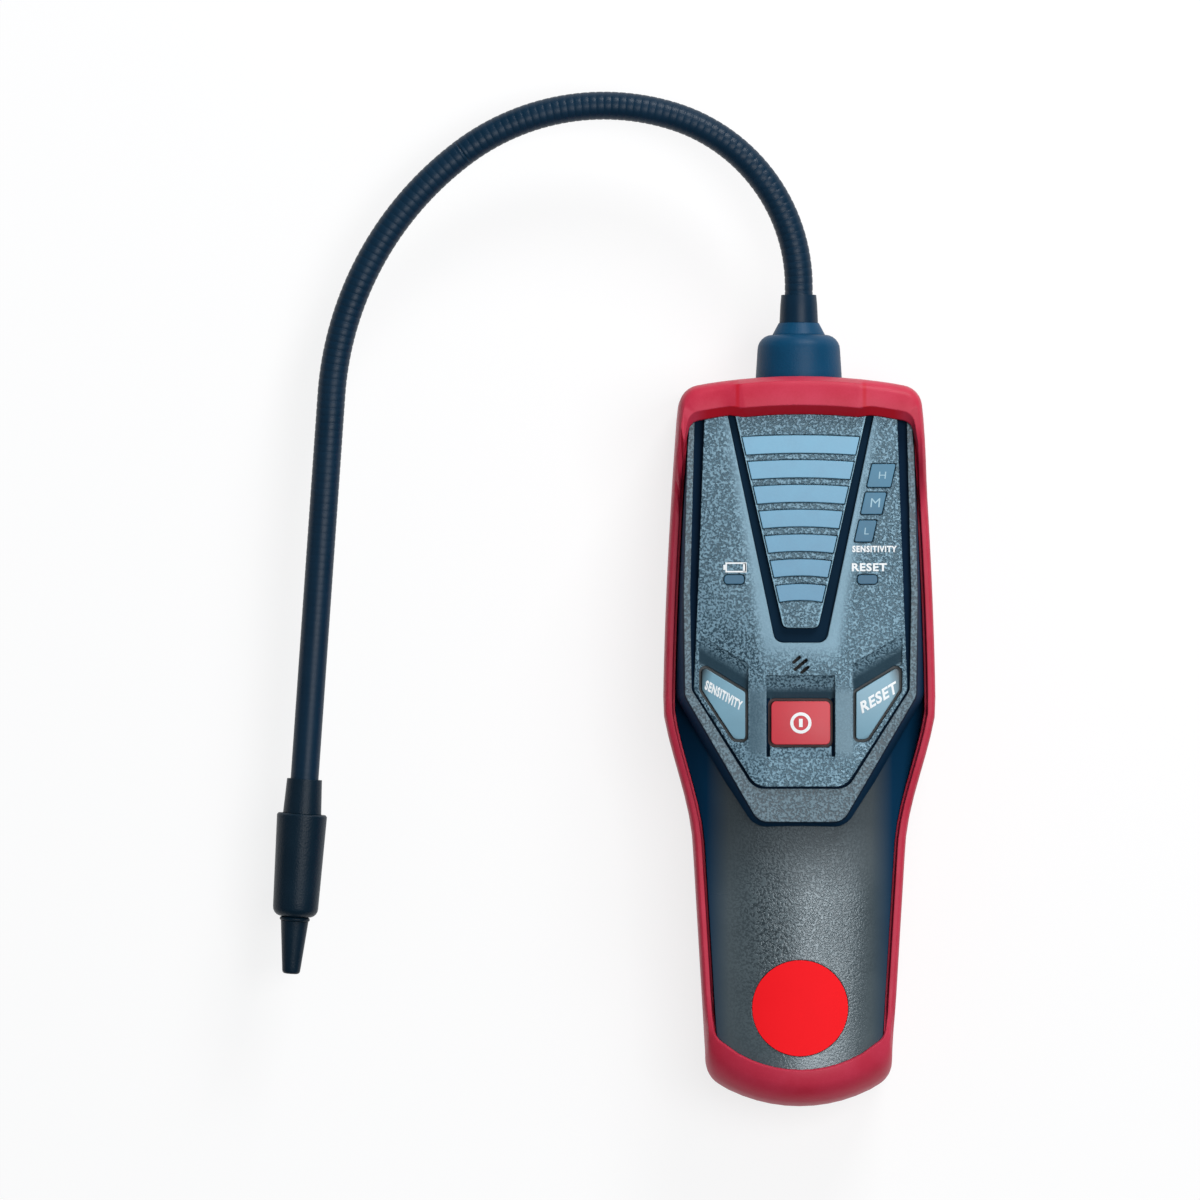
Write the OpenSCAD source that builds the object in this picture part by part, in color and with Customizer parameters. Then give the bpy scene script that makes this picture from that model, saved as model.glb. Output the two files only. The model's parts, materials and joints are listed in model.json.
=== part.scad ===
// Hand-held refrigerant leak detector with a stay-put gooseneck probe.
// It lies on its back: +Z out of the face, +Y towards the probe end, rear face at z = 0.

/* [Body] */
// Length over the boot, from the foot to the top bumper
body_len = 197; // [191:1:205]
// Width over the boot at the widest part of the head
head_w = 73.4; // [72:0.2:77]
// Width over the boot at the top shoulders
top_w = 66.6; // [65:0.2:69]
// Width over the boot near the foot of the grip
grip_w = 50.4; // [50:0.2:54]
// Height of the face plate above the rear face
face_z = 43; // [42:0.5:46]
// Height of the grip's crown above the rear face
crown_z = 37; // [36.5:0.5:38.5]
// Radius of the grip's crown across the body
crown_r = 50; // [46:1:58]
// Height of the joint line between the two covers
part_z = 20; // [18:0.5:22]
// Wall of the two covers
wall = 2; // [1.6:0.1:2.4]

/* [Boot] */
// Thickness of the boot's side walls
boot_wall = 3; // [2.6:0.1:3.4]
// Thickness of the rubber foot
foot_wall = 7.3; // [6.5:0.1:8]
// Height of the top bumper above the rear face
bumper_z = 45.4; // [45:0.1:50]
// How far the top bumper reaches in over the face
bumper_len = 10.4; // [9:0.1:12]
// How far the foot reaches in over the crown
foot_len = 10.4; // [9.5:0.1:12]
// Height of the boot's rim beside the head
head_rim_z = 34; // [32:0.5:36]
// Height of the boot's rim beside the grip
grip_rim_z = 30.6; // [29:0.2:31.5]
// Width of the boot's rear lip
rear_lip = 3.5; // [2.5:0.1:4.5]

/* [Face] */
// Thickness of the face plate
plate_t = 2.8; // [2.6:0.1:3.2]
// Thickness of the deck that carries the face plate
deck_t = 1.8; // [1.5:0.1:2.2]
// Half width of the raised face at its chin
chin_half = 11.3; // [10:0.1:13]
// Distance of the chin's edge below the body's middle
chin_y = 21.3; // [20:0.1:23]
// Height of the face's shoulders above the body's middle
face_shoulder_y = 12.5; // [11:0.1:14]
// Half width of the display panel at its top, as a share of the face's
panel_top_share = 0.572; // [0.55:0.002:0.59]
// Half width of the display panel at its foot, as a share of the face's
panel_foot_share = 0.15; // [0.14:0.002:0.17]
// Distance from the top of the body to the display panel's foot
panel_foot_drop = 67.7; // [66:0.1:69]
// Width of the black trim beside the top of the display panel
trim_top_w = 1.9; // [1.5:0.1:2.2]
// Width of the black trim beside the foot of the display panel
trim_foot_w = 2.9; // [2.2:0.1:3.2]
// Tilt of the face's two lower facets
facet_tilt = 5; // [4:0.5:6]

/* [Indicators] */
// Number of bars in the leak display
bar_count = 7; // [5:1:7]
// Spacing of the bars
bar_pitch = 6.62; // [6.5:0.01:6.7]
// Height of the lowest bar
bar_h = 4.3; // [4:0.1:4.5]
// Extra height of the top bar over the lowest one
bar_growth = 0.4; // [0:0.1:0.5]
// Spacing of the three level lenses
level_pitch = 7.45; // [7.2:0.05:8]
// Length of the battery and reset lenses
pilot_len = 5.3; // [4.5:0.1:6]

/* [Keys] */
// Width of the power key
power_w = 15.8; // [14:0.1:16.4]
// Length of the power key
power_len = 11.6; // [10:0.1:12.4]
// Gap between a key and the edge of its opening
key_gap = 0.8; // [0.6:0.05:0.9]
// How far a key can be pressed
key_travel = 0.8; // [0.5:0.1:1]

/* [Battery] */
// Diameter of a cell
cell_d = 14.5; // [14:0.1:14.5]
// Length of a cell
cell_len = 50.5; // [49:0.1:51]
// Thickness of the battery door
door_t = 2; // [1.8:0.1:2.1]

/* [Probe] */
// Outside diameter of the gooseneck
neck_d = 7.6; // [7:0.1:8]
// Height of the gooseneck's axis above the rear face
neck_z = 20; // [19:0.5:20.5]
// Diameter of the collar at the housing
collar_d = 23.8; // [22:0.2:26]
// Length of the collar above the housing
collar_len = 14.9; // [13:0.1:17]
// Radius of the first bend
base_bend_r = 48.4; // [46:0.2:51]
// Radius of the arch's top
arch_r = 63.6; // [61:0.2:66]
// Radius of the bend down to the leg
leg_bend_r = 90; // [87:0.5:93]
// Straight length down to the tip's sleeve
leg_len = 104.5; // [95:0.5:115]
// Diameter of the sensor housing at its upper end
tip_d = 13.6; // [12.6:0.1:15]
// Length of the sensor housing
tip_len = 28; // [25:0.5:32]
// Length of the nozzle
nozzle_len = 15.5; // [13:0.5:18]

/* [Hidden] */
$fn = 64;

// Clearances: between the boot and the covers, between seated pieces, round a lens, round a push fit
boot_gap = 0.2;
seat_gap = 0.15;
lens_gap = 0.25;
push_gap = 0.05;
eps = 0.01;

// The body's outline
top_y = body_len / 2;
foot_y = -body_len / 2;
head_y = 8;
shoulder_drop = 14.5;
waist_run = 36;
grip_rise = 12.5;
grip_flare = 0.06;
top_edge_r = 160;
foot_edge_r = 45;
top_corner_r = 6;
foot_corner_r = 7;
foot_corner_run = [6, 6];
top_corner_run = [7.5, 8];
side_steps = 32;
corner_steps = 6;
cover_inset = boot_wall + boot_gap;
foot_inset = foot_wall + boot_gap;

// The boot: runs along the body where its rim changes height, and its skin's roundings as insets
rim_fall = 38;
rim_run = [head_y - rim_fall, head_y];
rise_start = 33;
rise_end = 6;
sink_start = 28;
sink_end = 9.5;
rise_run = [top_y - rise_start, top_y - bumper_len - rise_end];
sink_run = [foot_y + sink_start, foot_y + foot_len + sink_end];
rim_t = 2.6;
block_half = 0.67;
block_rise = 1.2;
block_step = 0.9;
foot_rise = 1.3;
rear_rings = [[[2.6, 2.6, 3.6], 0], [[0.9, 0.9, 1.2], 1], [[0.1, 0.1, 0.2], 3.4], [[0, 0, 0], 8]];
front_rings = [
    [[0, 0, 0], [4, 6, 10]],
    [[0.2, 0.5, 1.4], [1.4, 2.4, 4.6]],
    [[0.6, 1.4, 3.8], [0.4, 0.8, 1.4]],
    [[1.1, 2.8, 6.6], [0, 0, 0]],
    [[2.2, bumper_len - 2.5, foot_len - 0.4], [0, 0, 0]]
];
rim_edge = 2.5;

// Levels above the rear face
rear_gap = 0.4;
lip_t = 2;
pad_z = rear_gap + lip_t + boot_gap;
ledge_drop = 1.2;
ledge_z = face_z - ledge_drop;
deck_z = face_z - plate_t;
deck_under = deck_z - deck_t;
head_side_z = 33;
flange_t = 1;
flange_top = deck_under - 0.1;
flange_under = flange_top - flange_t;
switch_h = 2.3;
switch_floor = 0.3;
press_room = 0.4;
plunger_room = 0.1;
board_t = 1.6;
board_top = flange_under - switch_h - key_travel - press_room;
plunger_len = flange_under - board_top - switch_floor - key_travel - plunger_room;
board_under = board_top - board_t;

// Outlines of the raised face, its pocket and the plate in it
chin_r = 4.5;
shoulder_r = 4;
shield_shoulder = head_w / 2 - cover_inset - 2.5;
shield_top = top_w / 2 - cover_inset - 0.2;
face_bow = 0.4;
face_bow_y = 40;
head_draft = 2.3;
head_step = 0.1;
edge_land = 0.2;
chin_land = 8.9;
pocket_foot_y = chin_land - chin_y;
groove_top = 2.4;
groove_mid = 2.1;
groove_side = 0.6;
ledge_w = 1.7;
pocket_rise = 1.6;
pocket_radii = [5, 3, 0, 1];
pocket_slope = (shield_shoulder - chin_half) / (face_shoulder_y + chin_y);
pocket_foot_trim = 2.2;
pocket_foot_half = chin_half - ledge_w + pocket_slope * chin_land - pocket_foot_trim;
plate_top_y = top_y - bumper_len + 0.4;

// The display
panel_foot_y = top_y - panel_foot_drop;
v_slope = (panel_top_share - panel_foot_share) * shield_shoulder / (plate_top_y - panel_foot_y);
panel_r = 1.8;
trim_foot = 3.8;
trim_r = 2.6;
trim_drop = 1.2;
bar_drop = 18.6;
bar_bow = 0.5;
bar_margin = 0.65;
lens_proud = 0.25;
lens_flange = 0.6;
lens_flange_t = 0.8;
window_margin = 0.4;
window_room = 1.5;
level_drop = 26.8;
level_offset = 0.145 * shield_shoulder;
level_sizes = [for (s = [[0.205, 6.2], [0.181, 5.8], [0.152, 5.7]]) [s.x * shield_shoulder, s.y]];
pilot_x = 0.577 * shield_shoulder;
pilot_drop = 54.7;
pilot_h = 2.4;

// The keys and what is under them
key_z = face_z + 0.5;
key_dome_r = 70;
power_y = 5.3;
power_r = 1.3;
well_gap = 1.3;
slit_inset = 0.35;
slit_w = 0.95;
slit_fall = 3.3;
well_rise = 6.1;
well_fall = 4.3;
well_depth = 2.5;
well_step = 0.5;
side_well_step = 1.1;
side_key_z = face_z + 0.2;
side_dome_shift = [8, 3];
side_key_top = [13.5, 20.5];
side_key_low = 14.2;
side_key_run = 2.9;
side_key_radii = [0.8, 0.8, 0.9, 1.1, 1.8];
facet_fold = [[0.855, 46], [0.323, 25]];
side_key_outer = shield_shoulder - 4.5;
side_key_inner = 0.481 * shield_shoulder;
side_key_foot = 0.9;
key_flange = 1.3;
switch_w = 6;
plunger_r = 1.7;
power_switch_at = [0, power_y];
side_switch_at = [-0.629 * shield_shoulder, 10.5];
reset_switch_at = [-side_switch_at.x, side_switch_at.y];
speaker_y = 20.9;
speaker_r = 6;
speaker_h = 3.6;
slot_w = 0.85;
slot_pitch = 1.75;
slot_turn = 40;
slot_lengths = [2.9, 4.8, 2.9];
badge_r = 12.9;
badge_space = 3.6;
badge_y = foot_y + foot_len + badge_space + badge_r;
badge_proud = 0.3;
badge_bed = 0.8;

// Screws
cross_w = 0.8;
case_screw_d = 3;
case_head_d = 5.6;
case_head_h = 2.4;
case_boss_r = 3;
rear_boss_r = 4;
case_screw_len = 16;
case_seat = 8;
case_hole_depth = 9;
case_screw_drop = 12;
case_screw_low = 13;
case_screw_at = [[0.71 * shield_shoulder, top_y - case_screw_drop], [0.357 * grip_w, -case_screw_low]];
board_screw_d = 2;
board_head_d = 4;
board_head_h = 1.4;
board_boss_r = 2.2;
board_hole = 4;
board_bite = 3.5;
board_screw_drop = 51;
board_screw_low = 4.6;
board_screw_at = [
    [0.748 * shield_shoulder, top_y - board_screw_drop],
    [0.387 * shield_shoulder, -board_screw_low]
];

// The circuit board and what is on it
board_inset = 3.5;
board_foot_y = -8;
board_top_drop = 16.2;
board_top_y = top_y - board_top_drop;
led_size = [3, 1.6, 0.8];
chip_drop = 43.5;
chip_at = [0, top_y - chip_drop];
chip_size = [10, 10, 1.6];
socket_drop = 29.6;
socket_at = [0, top_y - socket_drop];
socket_size = [10, 5.8, 5];
socket_wall = 1;

// The battery bay and its door
cell_gap = 0.3;
bay_wall = 1.2;
bay_contact = 3.4;
plate_sheet = 0.4;
plate_w = 10;
cell_tip = 1.2;
cell_tip_d = 5.2;
cell_x = cell_d / 2 + cell_gap / 2;
door_inset_z = 0.5;
door_land = door_inset_z + door_t + 0.1;
cell_low_z = door_land + cell_d / 2 + 0.1;
cell_high_z = cell_low_z + cell_d + cell_gap / 2;
bay_half = cell_d + cell_gap;
bay_rise = 9;
bay_foot_y = foot_y + foot_inset + wall + bay_rise;
bay_top_y = bay_foot_y + cell_len + bay_contact + plate_sheet;
door_half = bay_half + 1.6;
door_foot_y = bay_foot_y - 1;
door_top_y = bay_top_y + 2.4;
door_gap = 0.2;
hinge_y = door_foot_y + door_gap + door_t / 2;
hinge_z = door_inset_z + door_t / 2;
hinge_pin_r = 0.7;
hinge_pin_len = 1.4;
thumb_r = 7;
thumb_run = 4;
thumb_depth = 1.1;
thumb_w = 16;
spring_wire = 0.7;
spring_base_r = 4;
spring_tip_r = 2.2;
spring_turns = 2.5;

// The gooseneck's route, a chain of straight and round stretches in one plane
neck_r = neck_d / 2;
housing_end = top_y - cover_inset;
collar_top = housing_end + collar_len;
ring_len = 3.2;
sleeve_len = 7.6;
neck_start = collar_top + 0.8;
base_straight = 12.3;
base_turn = 73;
arch_turn = 54;
leg_turn = 49;
tip_sleeve_len = 9.4;
tip_grip = 6;
stretch_gap = 0.02;
route = [
    [base_straight, 0, 0],
    [0, base_bend_r, base_turn],
    [0, arch_r, arch_turn],
    [0, leg_bend_r, leg_turn],
    [leg_len, 0, 0]
];
spigot_r = 5;
spigot_len = 12;
nut_r = 7.4;
nut_t = 4;
nut_gap = 0.25;
lead_bore_r = 2.4;
ring_d = 14.3;
sleeve_d = 10.5;
sleeve_top_d = 9.5;

// The sensing tip, measured along its axis from the end of the route
tip_sleeve_d = 9.5;
tip_sleeve_end_d = 10.4;
tip_end_d = 12.3;
tip_round = 2.5;
tip_wall = 1.4;
nozzle_d = 7.5;
nozzle_end_d = 4.9;
nozzle_bore_r = 1.2;
nozzle_root = 4;
nozzle_seat_r = 2.9;
tip_from = tip_sleeve_len;
tip_to = tip_from + tip_len;
seal_r = 0.6;
nozzle_round = 0.9;
tip_floor = 3;
element_r = 2.2;
element_base_r = 4.2;
element_base_h = 2;
element_h = 9;

// Rounding of the corner at b between the points a and c
function unit(v) = v / norm(v);
function corner(a, b, c, r, steps = corner_steps) =
    let (
        u = unit(a - b),
        v = unit(c - b),
        half = acos(u * v) / 2,
        centre = b + unit(u + v) * r / sin(half),
        from = b + u * r / tan(half) - centre,
        to = b + v * r / tan(half) - centre,
        start = atan2(from.y, from.x),
        swing = atan2(to.y, to.x) - start,
        turn = swing > 180 ? swing - 360 : swing < -180 ? swing + 360 : swing
    )
    [for (k = [0 : steps]) centre + r * [cos(start + turn * k / steps), sin(start + turn * k / steps)]];

// Closed outline through points with a rounding at each, or none where it is 0
function rounded(points, radii) =
    let (n = len(points))
    [for (i = [0 : n - 1]) each radii[i] > 0
        ? corner(points[(i + n - 1) % n], points[i], points[(i + 1) % n], radii[i])
        : [points[i]]];

// Right half of an outline, listed from its foot up, and its mirror image
function both_sides(points) =
    concat(points, [for (i = [len(points) - 1 : -1 : 0]) [-points[i].x, points[i].y]]);
function both_values(values) = concat(values, [for (i = [len(values) - 1 : -1 : 0]) values[i]]);

function smooth(t) = t <= 0 ? 0 : t >= 1 ? 1 : t * t * (3 - 2 * t);

// Half width over the boot at the height y along the body
function grip_half(y) = grip_w / 2 + grip_flare * (y - foot_y - grip_rise);
function waist_fall(t) = t >= 1 ? 0 : (1 - t) * (1 - t) * (1 + 1.4 * t);
function half_w(y) =
    y > head_y
    ? head_w / 2 - (head_w - top_w) / 2 * pow((y - head_y) / (top_y - shoulder_drop - head_y), 1.6)
    : grip_half(y) + (head_w / 2 - grip_half(head_y)) * waist_fall((head_y - y) / waist_run);

// Curved ends of the outline, set in by the given amount
function foot_edge(x, inset) = foot_y + foot_edge_r - sqrt(pow(foot_edge_r - inset, 2) - x * x);
function top_edge(x, inset) = top_y - top_edge_r + sqrt(pow(top_edge_r - inset, 2) - x * x);

// The body's outline from the front, set in from the boot's outside at the sides, top and foot
top_stations = [0, 0.22, 0.44, 0.655, 0.685, 0.85, 1];
foot_stations = [0, 0.2, 0.4, 0.6, 0.8, 1];
function outline(side, top, foot) =
    let (
        foot_x = grip_w / 2 - side,
        foot_corner = [foot_x, foot_edge(foot_x, foot)],
        top_x = half_w(top_y) - side,
        top_corner = [top_x, top_edge(top_x, top)],
        foot_run = foot_x - foot_corner_run.x,
        top_run = top_x - top_corner_run.x,
        low = foot_corner.y + foot_corner_run.y,
        high = top_corner.y - top_corner_run.y,
        foot_half = [for (t = foot_stations) [foot_run * t, foot_edge(foot_run * t, foot)]],
        sides = [for (k = [0 : side_steps])
            let (y = low + (high - low) * k / side_steps) [half_w(y) - side, y]],
        top_half = [for (k = [len(top_stations) - 1 : -1 : 0])
            let (x = top_run * top_stations[k]) [x, top_edge(x, top)]],
        right = concat(
            [for (k = [1 : len(foot_half) - 1]) foot_half[k]],
            corner(foot_half[len(foot_half) - 1], foot_corner, sides[0], max(foot_corner_r - side, 1)),
            sides,
            corner(sides[side_steps], top_corner, top_half[0], max(top_corner_r - side, 1)),
            [for (k = [0 : len(top_half) - 2]) top_half[k]]
        )
    )
    concat(
        [foot_half[0]], right, [top_half[len(top_half) - 1]],
        [for (k = [len(right) - 1 : -1 : 0]) [-right[k].x, right[k].y]]
    );

// Outline of the covers inside the boot, set in further by the given amount
function cover_outline(inset) = outline(cover_inset + inset, cover_inset + inset, foot_inset + inset);

// Height of the crown across the grip
function crown_at(x) = crown_z - crown_r + sqrt(crown_r * crown_r - x * x);

// Half width of the display panel
function panel_half(y) = panel_foot_share * shield_shoulder + v_slope * (y - panel_foot_y);

// Front heights of the boot: its rim, the rise to the top bumper and to the foot
function rim_at(y) =
    grip_rim_z + (head_rim_z - grip_rim_z) * smooth((y - rim_run[0]) / (rim_run[1] - rim_run[0]));
function top_share(y) = smooth((y - rise_run[0]) / (rise_run[1] - rise_run[0]));
function foot_share(y) = smooth((sink_run[0] - y) / (sink_run[0] - sink_run[1]));
function front_at(p) =
    rim_at(p.y)
    + (bumper_z - rim_at(p.y)) * top_share(p.y)
    + (crown_at(p.x) + foot_rise - rim_at(p.y)) * foot_share(p.y);
function mix_at(p, values) =
    values[0] + (values[1] - values[0]) * top_share(p.y) + (values[2] - values[0]) * foot_share(p.y);
function under_at(p) =
    (rim_at(p.y) - rim_t) * (1 - top_share(p.y) - foot_share(p.y))
    + (face_z + boot_gap) * top_share(p.y)
    + (crown_at(p.x) + 1.5 * boot_gap) * foot_share(p.y);

// How far the bumper's inner edge stands back beside its raised middle
function edge_step(p, inset) = inset[1] > bumper_len / 2 ? block_step * top_share(p.y) : 0;

// One ring of the boot's skin at the front, with its drop below the front at side, top and foot
function front_ring(inset, drop) =
    [for (p = outline(inset[0], inset[1], inset[2]))
        let (
            block_x = block_half * (top_w / 2 - top_corner_run.x - inset[0]),
            block = p.y > top_y - bumper_len - 2 && abs(p.x) < block_x
        )
        [p.x, p.y + (block ? 0 : edge_step(p, inset)),
            front_at(p) - mix_at(p, drop) + (block && inset[1] > 1 ? block_rise : 0)]];
function level_ring(inset, z) = [for (p = outline(inset[0], inset[1], inset[2])) [p.x, p.y, z]];
function under_ring(inset) =
    [for (p = outline(inset[0], inset[1], inset[2]))
        let (block = abs(p.x) < block_half * (top_w / 2 - top_corner_run.x - inset[0]))
        [p.x, p.y + (block ? 0 : edge_step(p, inset)), under_at(p)]];

// Closed skin through rings that lie one round the other, the last joined to the first
module ring_skin(rings) {
    n = len(rings[0]);
    m = len(rings);
    points = [for (ring = rings) each ring];
    faces = [for (j = [0 : m - 1], i = [0 : n - 1])
        let (
            next = (i + 1) % n,
            ring = (j + 1) % m,
            a = j * n + i,
            b = j * n + next,
            c = ring * n + i,
            d = ring * n + next
        )
        each [[a, c, d], [a, d, b]]];
    polyhedron(points, faces, convexity = 8);
}

// Coil of round wire about Z, narrowing to its tip, with flat ends
module coil(r_base, r_tip, height, turns, wire) {
    steps = round(turns * 8);
    sides = 5;
    rings = [for (k = [0 : steps])
        let (t = k / steps, a = 360 * turns * t, r = r_base + (r_tip - r_base) * t)
        [for (s = [0 : sides - 1])
            let (b = 360 * s / sides, out = r + wire / 2 * cos(b))
            [out * cos(a), out * sin(a), wire / 2 + (height - wire) * t + wire / 2 * sin(b)]]];
    faces = [for (j = [0 : steps - 1], i = [0 : sides - 1])
        let (a = j * sides + i, b = j * sides + (i + 1) % sides)
        each [[a, a + sides, b + sides], [a, b + sides, b]]];
    first = [for (i = [0 : sides - 1]) i];
    last = [for (i = [sides - 1 : -1 : 0]) steps * sides + i];
    polyhedron([for (ring = rings) each ring], concat(faces, [first, last]), convexity = 8);
}

// Outline of the raised face, kept inside the covers' outline by the clip
module shield_plan(inset, clip) {
    points = [
        [chin_half, -chin_y],
        [shield_shoulder, face_shoulder_y],
        [shield_shoulder + face_bow, face_bow_y],
        [shield_top, top_y]
    ];
    intersection() {
        offset(delta = -inset)
            polygon(rounded(both_sides(points), both_values([chin_r, shoulder_r, 0, 0])));
        polygon(cover_outline(clip + head_step));
    }
}

// Pocket for the face plate, or the plate itself with its grooves taken off
module pocket_plan(shrink_top, shrink_mid, shrink_side, top) {
    points = [
        [pocket_foot_half - shrink_side, pocket_foot_y + shrink_side],
        [shield_shoulder - ledge_w - shrink_side, face_shoulder_y + pocket_rise],
        [shield_shoulder + face_bow - ledge_w - shrink_mid, face_bow_y],
        [shield_top - ledge_w - shrink_top, top]
    ];
    polygon(rounded(both_sides(points), both_values(pocket_radii)));
}

// Display panel, grown or shrunk by the given amount all round, or with another top
module panel_plan(grow, top = plate_top_y) {
    foot_at = panel_foot_y - grow;
    points = [[panel_half(foot_at) + grow, foot_at], [panel_half(top) + grow, top]];
    polygon(rounded(both_sides(points), both_values([panel_r, 0])));
}

// Outside of the black trim, wider at its foot
module trim_plan(grow, top = plate_top_y) {
    foot_at = panel_foot_y - trim_foot - grow;
    slope = v_slope - (trim_foot_w - trim_top_w) / (plate_top_y - panel_foot_y);
    top_half = panel_half(plate_top_y) + trim_top_w + slope * (top - plate_top_y);
    foot_half = panel_half(panel_foot_y) + trim_foot_w - slope * (panel_foot_y - foot_at);
    points = [[foot_half + grow, foot_at], [top_half + grow, top]];
    polygon(rounded(both_sides(points), both_values([trim_r, 0])));
}

// Arched bar of the display, counted from the top
function bar_y(i) = top_y - bar_drop - (i - 1) * bar_pitch;
function bar_height(i) = bar_h + bar_growth * (bar_count - i) / max(bar_count - 1, 1);
function bar_edge(y, half, turned) =
    [for (k = [0 : 6]) let (t = (turned ? 1 - k / 3 : k / 3 - 1)) [half * t, y - bar_bow * t * t]];
module bar_plan(i, grow) {
    h = bar_height(i) / 2 + grow;
    low = bar_y(i) - h + bar_bow / 2;
    high = bar_y(i) + h + bar_bow / 2;
    polygon(concat(
        bar_edge(low, panel_half(low) - bar_margin + grow, false),
        bar_edge(high, panel_half(high) - bar_margin + grow, true)
    ));
}

// Slanted level lens, 0 for the highest
function level_y(i) = top_y - level_drop - i * level_pitch;
module level_plan(i, grow) {
    w = level_sizes[i].x / 2 + grow;
    h = level_sizes[i].y / 2 + grow;
    x = panel_half(level_y(i)) + level_offset + level_sizes[i].x / 2;
    lean = v_slope * h;
    points = [[x - w - lean, level_y(i) - h], [x + w - lean, level_y(i) - h],
        [x + w + lean, level_y(i) + h], [x - w + lean, level_y(i) + h]];
    polygon(rounded(points, [0.4, 0.4, 0.4, 0.4]));
}

// Small pilot lens, on the left or the right
module pilot_plan(side, grow) {
    w = pilot_len / 2 + grow;
    h = pilot_h / 2 + grow;
    r = min(0.9 + grow, h - 0.1);
    translate([side * pilot_x, top_y - pilot_drop])
        polygon(rounded([[-w, -h], [w, -h], [w, h], [-w, h]], [r, r, r, r]));
}

// Keys seen from the front, grown by the given amount
module power_plan(grow) {
    w = power_w / 2 + grow;
    h = power_len / 2 + grow;
    r = power_r + grow / 2;
    translate([0, power_y])
        polygon(rounded([[-w, -h], [w, -h], [w, h], [-w, h]], [r, r, r, r]));
}
// Slits in the plate at both sides of the power key, running on below it
module power_slits() {
    low = -power_len / 2 - slit_fall;
    for (side = [-1, 1]) translate([side * (power_w / 2 + slit_inset), power_y + low])
        translate([side > 0 ? 0 : -slit_w, 0]) square([slit_w, power_len / 2 + key_gap - low]);
}
module side_plan(grow) {
    points = [
        [-side_key_inner, side_key_foot],
        [-side_key_inner, side_key_top[0]],
        [-side_key_outer, side_key_top[1]],
        [-side_key_outer, side_key_low],
        [-side_key_inner - side_key_run, side_key_foot]
    ];
    offset(delta = grow) polygon(rounded(points, side_key_radii));
}

// Prism between two levels
module prism(low, high) {
    translate([0, 0, low]) linear_extrude(high - low) children();
}

// Cylinder along Y between two places, about the axis at the height z
module bar_along(r, x, z, from, to) {
    translate([x, from, z]) rotate([-90, 0, 0]) cylinder(r = r, h = to - from);
}

// Grip and head inside the boot, with the given wall taken off
module crown_block(inset) {
    intersection() {
        prism(part_z - (inset > 0 ? 1 : 0), crown_z + 1) polygon(cover_outline(inset));
        bar_along(crown_r - inset, 0, crown_z - crown_r, foot_y, top_y);
    }
}
module head_block(inset, top) {
    hull() {
        prism(part_z - (inset > 0 ? 1 : 0), head_side_z) shield_plan(inset - head_draft, inset);
        prism(top - edge_land, top) shield_plan(inset, inset);
    }
}

// Places of the screws, mirrored to both sides
module at_both(places) {
    for (p = places, side = [-1, 1]) translate([side * p.x, p.y, 0]) children();
}

// Shells
module front_cover() {
    color([0.17, 0.22, 0.26]) difference() {
        union() {
            difference() {
                union() {
                    crown_block(0);
                    head_block(0, ledge_z);
                }
                crown_block(wall);
                head_block(wall, deck_under);
                prism(deck_z, face_z + 1) pocket_plan(0, 0, 0, top_y);
                prism(deck_under - 1, deck_z + 1) deck_openings();
                bar_along(spigot_r + seat_gap, 0, neck_z, housing_end - wall - 1, housing_end + 1);
            }
            intersection() {
                at_both(case_screw_at) translate([0, 0, part_z]) cylinder(r = case_boss_r, h = face_z);
                union() {
                    crown_block(wall / 2);
                    head_block(wall / 2, deck_under + deck_t / 2);
                }
            }
            at_both(board_screw_at)
                translate([0, 0, board_top])
                    cylinder(r = board_boss_r, h = deck_z - board_top - deck_t / 2);
        }
        at_both(case_screw_at)
            translate([0, 0, part_z - 1]) cylinder(d = case_screw_d, h = case_hole_depth + 1);
        at_both(board_screw_at)
            translate([0, 0, board_top - 1]) cylinder(d = board_screw_d, h = board_hole + 1);
        badge_seat();
    }
}

// Openings through the deck for the display, lenses, keys and speaker
module deck_openings() {
    intersection() {
        panel_plan(-window_margin);
        translate([-head_w / 2, panel_foot_y])
            square([head_w, bar_y(1) + bar_h + window_room - panel_foot_y]);
    }
    for (i = [0 : 2]) level_plan(i, 1);
    for (side = [-1, 1]) pilot_plan(side, 1);
    power_plan(key_gap);
    side_plan(key_gap);
    mirror([1, 0]) side_plan(key_gap);
    translate([0, speaker_y]) circle(r = speaker_r / 2);
}

// Round seat for the badge, sunk into the crown by the badge's bed
module badge_seat() {
    difference() {
        translate([0, badge_y, part_z]) cylinder(r = badge_r + seat_gap, h = crown_z);
        bar_along(crown_r - badge_bed, 0, crown_z - crown_r, foot_y, 0);
    }
}

module rear_cover() {
    color([0.13, 0.15, 0.17]) difference() {
        union() {
            difference() {
                union() {
                    prism(pad_z, part_z) polygon(cover_outline(0));
                    prism(0, pad_z + eps) polygon(pad_outline(0));
                }
                prism(pad_z + wall, part_z + 1) polygon(cover_outline(wall));
                prism(wall, part_z) polygon(pad_outline(wall));
            }
            difference() {
                union() {
                    battery_bay(bay_wall, wall / 2);
                    at_both(case_screw_at)
                        translate([0, 0, wall / 2]) cylinder(r = rear_boss_r, h = part_z - wall / 2);
                }
                lip_space();
            }
        }
        battery_bay(0, door_land - eps);
        prism(-1, door_land) door_plan(0);
        for (side = [-1, 1]) translate([side * (door_half - 1), hinge_y, hinge_z])
            rotate([0, side * 90, 0]) cylinder(r = hinge_pin_r + push_gap, h = hinge_pin_len + 1.3);
        at_both(case_screw_at) {
            translate([0, 0, -1]) cylinder(d = case_screw_d + 0.4, h = part_z + 2);
            translate([0, 0, -1]) cylinder(d = case_head_d + 0.4, h = case_seat + 1);
        }
        bar_along(spigot_r + seat_gap, 0, neck_z, housing_end - wall - 1, housing_end + 1);
    }
}
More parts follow.
